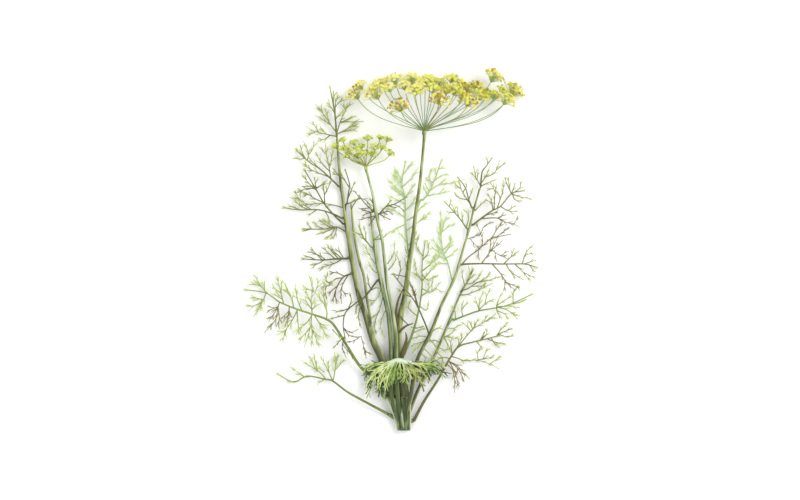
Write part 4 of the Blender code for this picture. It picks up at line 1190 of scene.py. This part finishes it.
def tuft_skeleton():
    """The bright drooping tuft: a pale, bloomy fold with layers of flat leaflets below it."""
    rng = random.Random(7)
    skeleton = Skeleton()
    skeleton.line(smooth_route(TUFT_FOLD, 6), STALK, (1.0, 1.0), 0.0, (0.95, 0.95))
    skeleton.line(smooth_route(TUFT_STUB, 5), STALK, (0.2, 0.9), 0.0, (0.1, 0.6))
    # each layer's cast range makes the lower layers darker, as painted shade beneath the upper ones,
    # with a random tone within it
    for layer, (shaded_cast_low, shaded_cast_high, wide, drop) in enumerate(TUFT_LAYERS):
        for x, y, z, dry in TUFT_TIPS:
            for _ in range(1 if layer == 1 and x > 10 else 2):
                out = x - TUFT_MIDDLE.x
                heel = Vector((
                    TUFT_MIDDLE.x + out * rng.uniform(0.18, 0.45),
                    TUFT_MIDDLE.y + rng.uniform(-2.5, 1.5) - abs(out) * 0.05,
                    TUFT_MIDDLE.z - drop - abs(out) * 0.06,
                ))
                tip = Vector((x + rng.uniform(-4, 4), y + rng.uniform(-3, 4), max(4.0, z - drop)))
                tip = heel.lerp(tip, rng.uniform(0.62, 1.04))
                over = heel.lerp(tip, 0.25) + Vector((out * 0.05, 1.2, 1.6))
                most = heel.lerp(tip, 0.62)
                most += Vector((out * 0.08 + rng.uniform(-1.5, 1.5), 2.0, 1.2))
                leaflet(skeleton, (heel, over, most, tip), rng, wide * rng.uniform(0.75, 1.1),
                        rng.uniform(shaded_cast_low, shaded_cast_high) - 0.3 * dry, 4 if layer else 3, dry)
    return skeleton


# ---- shapes -------------------------------------------------------------------------------


def closed_lobe(verts, faces, values, centre, length, width, height, angle, lean, mark):
    """A small closed petal that leans in, as rings between two points."""
    rings, sides = 3, 6
    first = len(verts)
    turn = Matrix.Rotation(angle, 3, "Z") @ Matrix.Rotation(lean, 3, "Y")
    verts.append(turn @ Vector((-length, 0, 0)) + centre)
    for i in range(rings):
        t = math.pi * (i + 1) / (rings + 1)
        for k in range(sides):
            a = 2 * math.pi * k / sides
            curl = 0.5 * height * (1 - math.cos(t)) ** 2 * 0.4
            verts.append(turn @ Vector((
                -length * math.cos(t), width * math.sin(t) * math.cos(a),
                height * math.sin(t) * math.sin(a) + curl,
            )) + centre)
    verts.append(turn @ Vector((length, 0, height * 0.8)) + centre)
    last = len(verts) - 1
    for k in range(sides):
        b = (k + 1) % sides
        faces.append((first, first + 1 + b, first + 1 + k))
        for i in range(rings - 1):
            low, high = first + 1 + i * sides, first + 1 + (i + 1) * sides
            faces.append((low + k, low + b, high + b, high + k))
        high = first + 1 + (rings - 1) * sides
        faces.append((last, high + k, high + b))
    values += [mark] * (len(verts) - first)


def floret_source():
    """One dill floret of unit radius: five rolled petals round a domed heart."""
    verts, faces, values = [], [], []
    for k in range(5):
        angle = 2 * math.pi * k / 5
        centre = Vector((math.cos(angle), math.sin(angle), 0.22)) * 0.58
        closed_lobe(verts, faces, values, centre, 0.44, 0.34, 0.16, angle, -0.55, 1.0)
    closed_lobe(verts, faces, values, Vector((0, 0, 0.02)), 0.36, 0.36, 0.30, 0.0, 0.0, 0.0)
    mesh = bpy.data.meshes.new("floret_source")
    mesh.from_pydata([tuple(v) for v in verts], [], faces)
    mesh.attributes.new("petal", "FLOAT", "POINT").data.foreach_set("value", values)
    mesh.polygons.foreach_set("use_smooth", [True] * len(faces))
    obj = bpy.data.objects.new("floret_source", mesh)
    bpy.context.scene.collection.objects.link(obj)
    return obj


def ring_at(fraction):
    """The crown's (x, y, half width, half height) at a place along it."""
    place = fraction * (len(CROWN_RINGS) - 1)
    i = min(int(place), len(CROWN_RINGS) - 2)
    return tuple(a + (b - a) * (place - i) for a, b in zip(CROWN_RINGS[i], CROWN_RINGS[i + 1]))


class CrownShell:
    """The crown's points, faces and painted values, put together ring by ring."""

    SIDES, STEPS = 120, 44
    FIELDS = ("ridge", "cut", "face", "edge", "rise")
    # (share of the half width, depth, how far in from the rind) of each ring of the cut face
    CUT_RINGS = ((0.90, 0.0, 0.0), (0.84, 0.15, 0.35), (0.62, 0.10, 0.55),
                 (0.42, 0.25, 0.75), (0.36, PITH_DEPTH, 0.95), (0.12, 1.3, 1.0))
    TOP_RINGS = ((0.5, 1.6), (0.25, 2.0))  # (share of the half width, height) of the upper end

    def __init__(self):
        self.points, self.faces = [], []
        self.fields = {name: [] for name in self.FIELDS}

    def add(self, place, ridge=0.0, cut=0.0, face=0.0, edge=0.0, rise=1.0):
        self.points.append(tuple(c * MM for c in place))
        for name, value in zip(self.FIELDS, (ridge, cut, face, edge, rise)):
            self.fields[name].append(value)
        return len(self.points) - 1

    def around(self):
        """Each side's number, the next side's, and its angle."""
        for k in range(self.SIDES):
            yield k, (k + 1) % self.SIDES, 2 * math.pi * k / self.SIDES

    def sides(self):
        """The wall: two stems that part as they rise, with ridged sheaths round them."""
        for i in range(self.STEPS + 1):
            t = i / self.STEPS
            x, y, half_width, half_height = ring_at(t)
            shoulder = 1.0 if t < 0.93 else 0.72 + 0.28 * math.cos((t - 0.93) / 0.07 * math.pi / 2)
            apart = 0.08 + 0.40 * min(1.0, max(0.0, (t - 0.12) / 0.6))
            for _, _, a in self.around():
                ridge = (0.5 * math.sin(17 * a + 3.1 * t) + 0.3 * math.sin(29 * a - 4.0 * t + 1.0)
                         + 0.35 * math.sin(7 * a + 5.0 * t + 0.4))
                swell = apart * abs(math.cos(a)) + math.sqrt(
                    (1 - apart) ** 2 - (apart * math.sin(a)) ** 2
                )
                swell *= shoulder * (1.0 + 0.025 * ridge * min(1, 4 * t + 0.3))
                tall = min(1.0, swell * (1.0 + 0.55 * apart))
                outline = math.exp(-((abs(math.cos(a)) - 0.97) / 0.09) ** 2)
                seam = math.exp(-(math.cos(a) / 0.13) ** 2) * min(1.0, 1.6 * t)
                place = (x + half_width * swell * math.cos(a), y,
                         half_height + half_height * tall * math.sin(a))
                self.add(place, ridge, edge=max(outline, seam), rise=t)
        for i in range(self.STEPS):
            low, high = i * self.SIDES, (i + 1) * self.SIDES
            self.faces += [(low + k, high + k, high + b, low + b) for k, b, _ in self.around()]

    def cut_face(self):
        """The rind, a ring of strands, then the sunk pith."""
        x, y, half_width, half_height = CROWN_RINGS[0]
        outer = list(range(self.SIDES))
        for share, depth, cut in self.CUT_RINGS:
            inner = []
            for _, _, a in self.around():
                ripple = 0.05 * math.sin(22 * a) if 0.5 < share < 0.9 else 0.0
                inner.append(self.add(
                    (x + half_width * share * math.cos(a), y + depth + ripple,
                     half_height + half_height * share * math.sin(a)), cut=cut, face=1.0,
                ))
            self.faces += [(outer[k], outer[b], inner[b], inner[k]) for k, b, _ in self.around()]
            outer = inner
        middle = self.add((x, y + self.CUT_RINGS[-1][1], half_height), cut=1.0, face=1.0)
        self.faces += [(outer[k], outer[b], middle) for k, b, _ in self.around()]

    def upper_end(self):
        """A low dome between the stems that leave the crown."""
        x, y, half_width, half_height = CROWN_RINGS[-1]
        outer = [self.STEPS * self.SIDES + k for k in range(self.SIDES)]
        for share, height in self.TOP_RINGS:
            inner = [
                self.add((x + half_width * share * math.cos(a), y + height,
                          half_height + half_height * share * math.sin(a)))
                for _, _, a in self.around()
            ]
            self.faces += [(outer[b], outer[k], inner[k], inner[b]) for k, b, _ in self.around()]
            outer = inner
        middle = self.add((x, y + 2.1, half_height))
        self.faces += [(outer[b], outer[k], middle) for k, b, _ in self.around()]


def crown_piece(finish):
    """The foot: two thick stems grown together, ridged sheaths round them and a clean cut."""
    shell = CrownShell()
    shell.sides()
    shell.cut_face()
    shell.upper_end()
    mesh = bpy.data.meshes.new("crown_foot")
    mesh.from_pydata(shell.points, [], shell.faces)
    for name, values in shell.fields.items():
        mesh.attributes.new(name, "FLOAT", "POINT").data.foreach_set("value", values)
    mesh.polygons.foreach_set("use_smooth", [True] * len(shell.faces))
    mesh.materials.append(finish)
    obj = bpy.data.objects.new("crown_foot", mesh)
    bpy.context.scene.collection.objects.link(obj)
    return obj


class Grower:
    """Turns skeletons into finished meshes with the growth tree."""

    def __init__(self, floret):
        self.bench, self.floret = growth_tree(), floret

    def grow(self, name, skeleton, green, flower, ribs=9, groove=0.9):
        source = bpy.data.objects.new(name + "_lines", skeleton.mesh(name + "_lines"))
        bpy.context.scene.collection.objects.link(source)
        modifier = source.modifiers.new("growth", "NODES")
        modifier.node_group = self.bench.tree
        for label, value in (
            ("Thread sides", THREAD_SIDES), ("Rib count", ribs), ("Groove", groove),
            ("Strap height", STRAP_HEIGHT), ("Floret", self.floret), ("Green finish", green),
            ("Flower finish", flower),
        ):
            modifier[self.bench.keys[label]] = value
        graph = bpy.context.evaluated_depsgraph_get()
        evaluated = source.evaluated_get(graph)
        mesh = bpy.data.meshes.new_from_object(
            evaluated, preserve_all_data_layers=True, depsgraph=graph
        )
        mesh.name = name
        for spent in ("kind", "thick", "facing", "spin"):
            found = mesh.attributes.get(spent)
            if found is not None:
                mesh.attributes.remove(found)
        bpy.data.objects.remove(source, do_unlink=True)
        grown = bpy.data.objects.new(name, mesh)
        bpy.context.scene.collection.objects.link(grown)
        return grown


def settle(piece, node):
    """Hands a finished piece over in place of its solid."""
    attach(piece, "root")
    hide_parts(node)


def tuft_finish():
    """Young tuft: yellow-green leaflets, darker in the lower layers as painted shade, with the knob a
    pale, bloomy grey-green.
    """
    paint = Paint("tuft leaflets", 0.5)
    tone, cast = paint.attribute("tone"), paint.attribute("cast")
    patch, fine = paint.noise(150.0, 3.0), paint.noise(900.0)
    # the cast darkens the lower layers of leaflets: painted shade under the upper ones, mixed with
    # random tone
    level = cast * 0.72 + (patch - 0.5) * 0.8 + 0.04
    colour = paint.ramp(level.held(), [
        (0.0, (0.018, 0.040, 0.006)), (0.22, (0.055, 0.12, 0.016)), (0.42, (0.22, 0.33, 0.06)),
        (0.62, (0.52, 0.62, 0.22)), (0.9, (0.78, 0.83, 0.46)),
    ])
    colour = paint.mix(paint.attribute("dry").held(), colour, (0.34, 0.30, 0.07))
    bloom = ((tone - 0.74) * 3.5 + (patch - 0.5)).held()
    colour = paint.mix(bloom * (0.35 + cast * 0.6), colour, (0.60, 0.69, 0.55))
    return paint.finish(colour, fine, 0.0002, roughness=0.42 + fine * 0.2)


def build():
    """Paints, grows and hands over every piece."""
    leaf_paints = {
        family: leaf_finish("leaf " + family, *colours)
        for family, colours in LEAF_COLOURS.items()
    }
    stem_paint = stem_finish("stem ribs", *STEM_COLOURS)
    young_paint = stem_finish("young stem ribs", *YOUNG_STEM_COLOURS)
    ray_paint = ray_finish("umbel rays", RAY_SHADES)
    small_ray_paint = ray_finish("small umbel rays", SMALL_RAY_SHADES)
    flower_paint = flower_finish("umbel florets", FLOWER_SHADES, FLOWER_HEART)
    lime_paint = flower_finish("young florets", LIME_SHADES, LIME_HEART)
    tuft_paint = tuft_finish()

    floret = floret_source()
    grower = Grower(floret)
    settle(crown_piece(crown_finish()), "crown")
    for name in STEMS:
        thick = max(point[3] for point in STEMS[name]) > 3.0
        paint = young_paint if name in YOUNG_STEMS else stem_paint
        grown = grower.grow(name + "_ribbed", stem_skeleton(name), paint, flower_paint,
                            ribs=15 if thick else 10, groove=0.93)
        settle(grown, name)
    for name in LEAVES:
        grown = grower.grow(name + "_threads", leaf_skeleton(name),
                            leaf_paints[LEAVES[name][3]], flower_paint, ribs=6, groove=0.86)
        settle(grown, name)
    settle(grower.grow("leaf_tuft_leaflets", tuft_skeleton(), tuft_paint, flower_paint, ribs=10),
           "leaf_tuft")
    for name, skeleton in umbellet_skeletons():
        settle(grower.grow(name + "_blossom", skeleton, ray_paint, flower_paint), name)
    settle(grower.grow("umbel_small_blossom", small_umbel_skeleton(), small_ray_paint,
                       lime_paint), "umbel_small")
    bpy.data.objects.remove(floret, do_unlink=True)


# ---- stage --------------------------------------------------------------------------------


def area_light(name, place, size, power, colour):
    """A round soft light that points at the middle of the scene."""
    data = bpy.data.lights.new(name, "AREA")
    data.shape, data.size, data.energy, data.color = "DISK", size, power, colour
    obj = bpy.data.objects.new(name, data)
    obj.location = place
    obj.rotation_euler = (-Vector(place)).to_track_quat("-Z", "Y").to_euler()
    bpy.context.scene.collection.objects.link(obj)


FLOOR_HALF = 4.0
FLOOR_GAP = 0.0004  # how far the floor lies below the bunch, so that they don't flicker
FRAME_WIDTH = 0.8  # what the camera takes in, in metres
FRAME_SHIFT = (0.0084, 0.001)  # of the camera from the middle of the bunch


def stage():
    """A plain pale floor, soft studio light and a camera that looks straight down."""
    scene = bpy.context.scene
    half = FLOOR_HALF
    mesh = bpy.data.meshes.new("floor")
    mesh.from_pydata([(-half, -half, 0), (half, -half, 0), (half, half, 0), (-half, half, 0)],
                     [], [(0, 1, 2, 3)])
    floor = bpy.data.objects.new("floor", mesh)
    floor.location.z = -FLOOR_GAP
    scene.collection.objects.link(floor)
    white = bpy.data.materials.new("pale floor")
    white.use_nodes = True
    shader = white.node_tree.nodes["Principled BSDF"]
    shader.inputs["Base Color"].default_value = (0.95, 0.95, 0.945, 1.0)
    shader.inputs["Roughness"].default_value = 0.9
    shader.inputs["Specular IOR Level"].default_value = 0.1
    mesh.materials.append(white)

    world = bpy.data.worlds.new("studio")
    world.use_nodes = True
    world.node_tree.nodes["Background"].inputs["Color"].default_value = (1.0, 1.0, 1.0, 1.0)
    world.node_tree.nodes["Background"].inputs["Strength"].default_value = 0.85
    scene.world = world
    area_light("key", (1.1, 0.7, 2.0), 1.2, 26.0, (1.0, 0.985, 0.96))
    area_light("fill", (-1.4, -0.3, 1.8), 1.6, 9.0, (0.97, 0.985, 1.0))
    scene.view_settings.view_transform = "Standard"

    low, high = CAD_BOX
    centre = (low + high) / 2
    camera = bpy.data.cameras.new("camera")
    camera.lens, camera.sensor_width = 150.0, 36.0
    camera.clip_end = 50.0
    lens = bpy.data.objects.new("camera", camera)
    distance = FRAME_WIDTH * camera.lens / camera.sensor_width
    lens.location = (centre.x + FRAME_SHIFT[0], centre.y + FRAME_SHIFT[1], distance)
    scene.collection.objects.link(lens)
    scene.camera = lens


build()
stage()
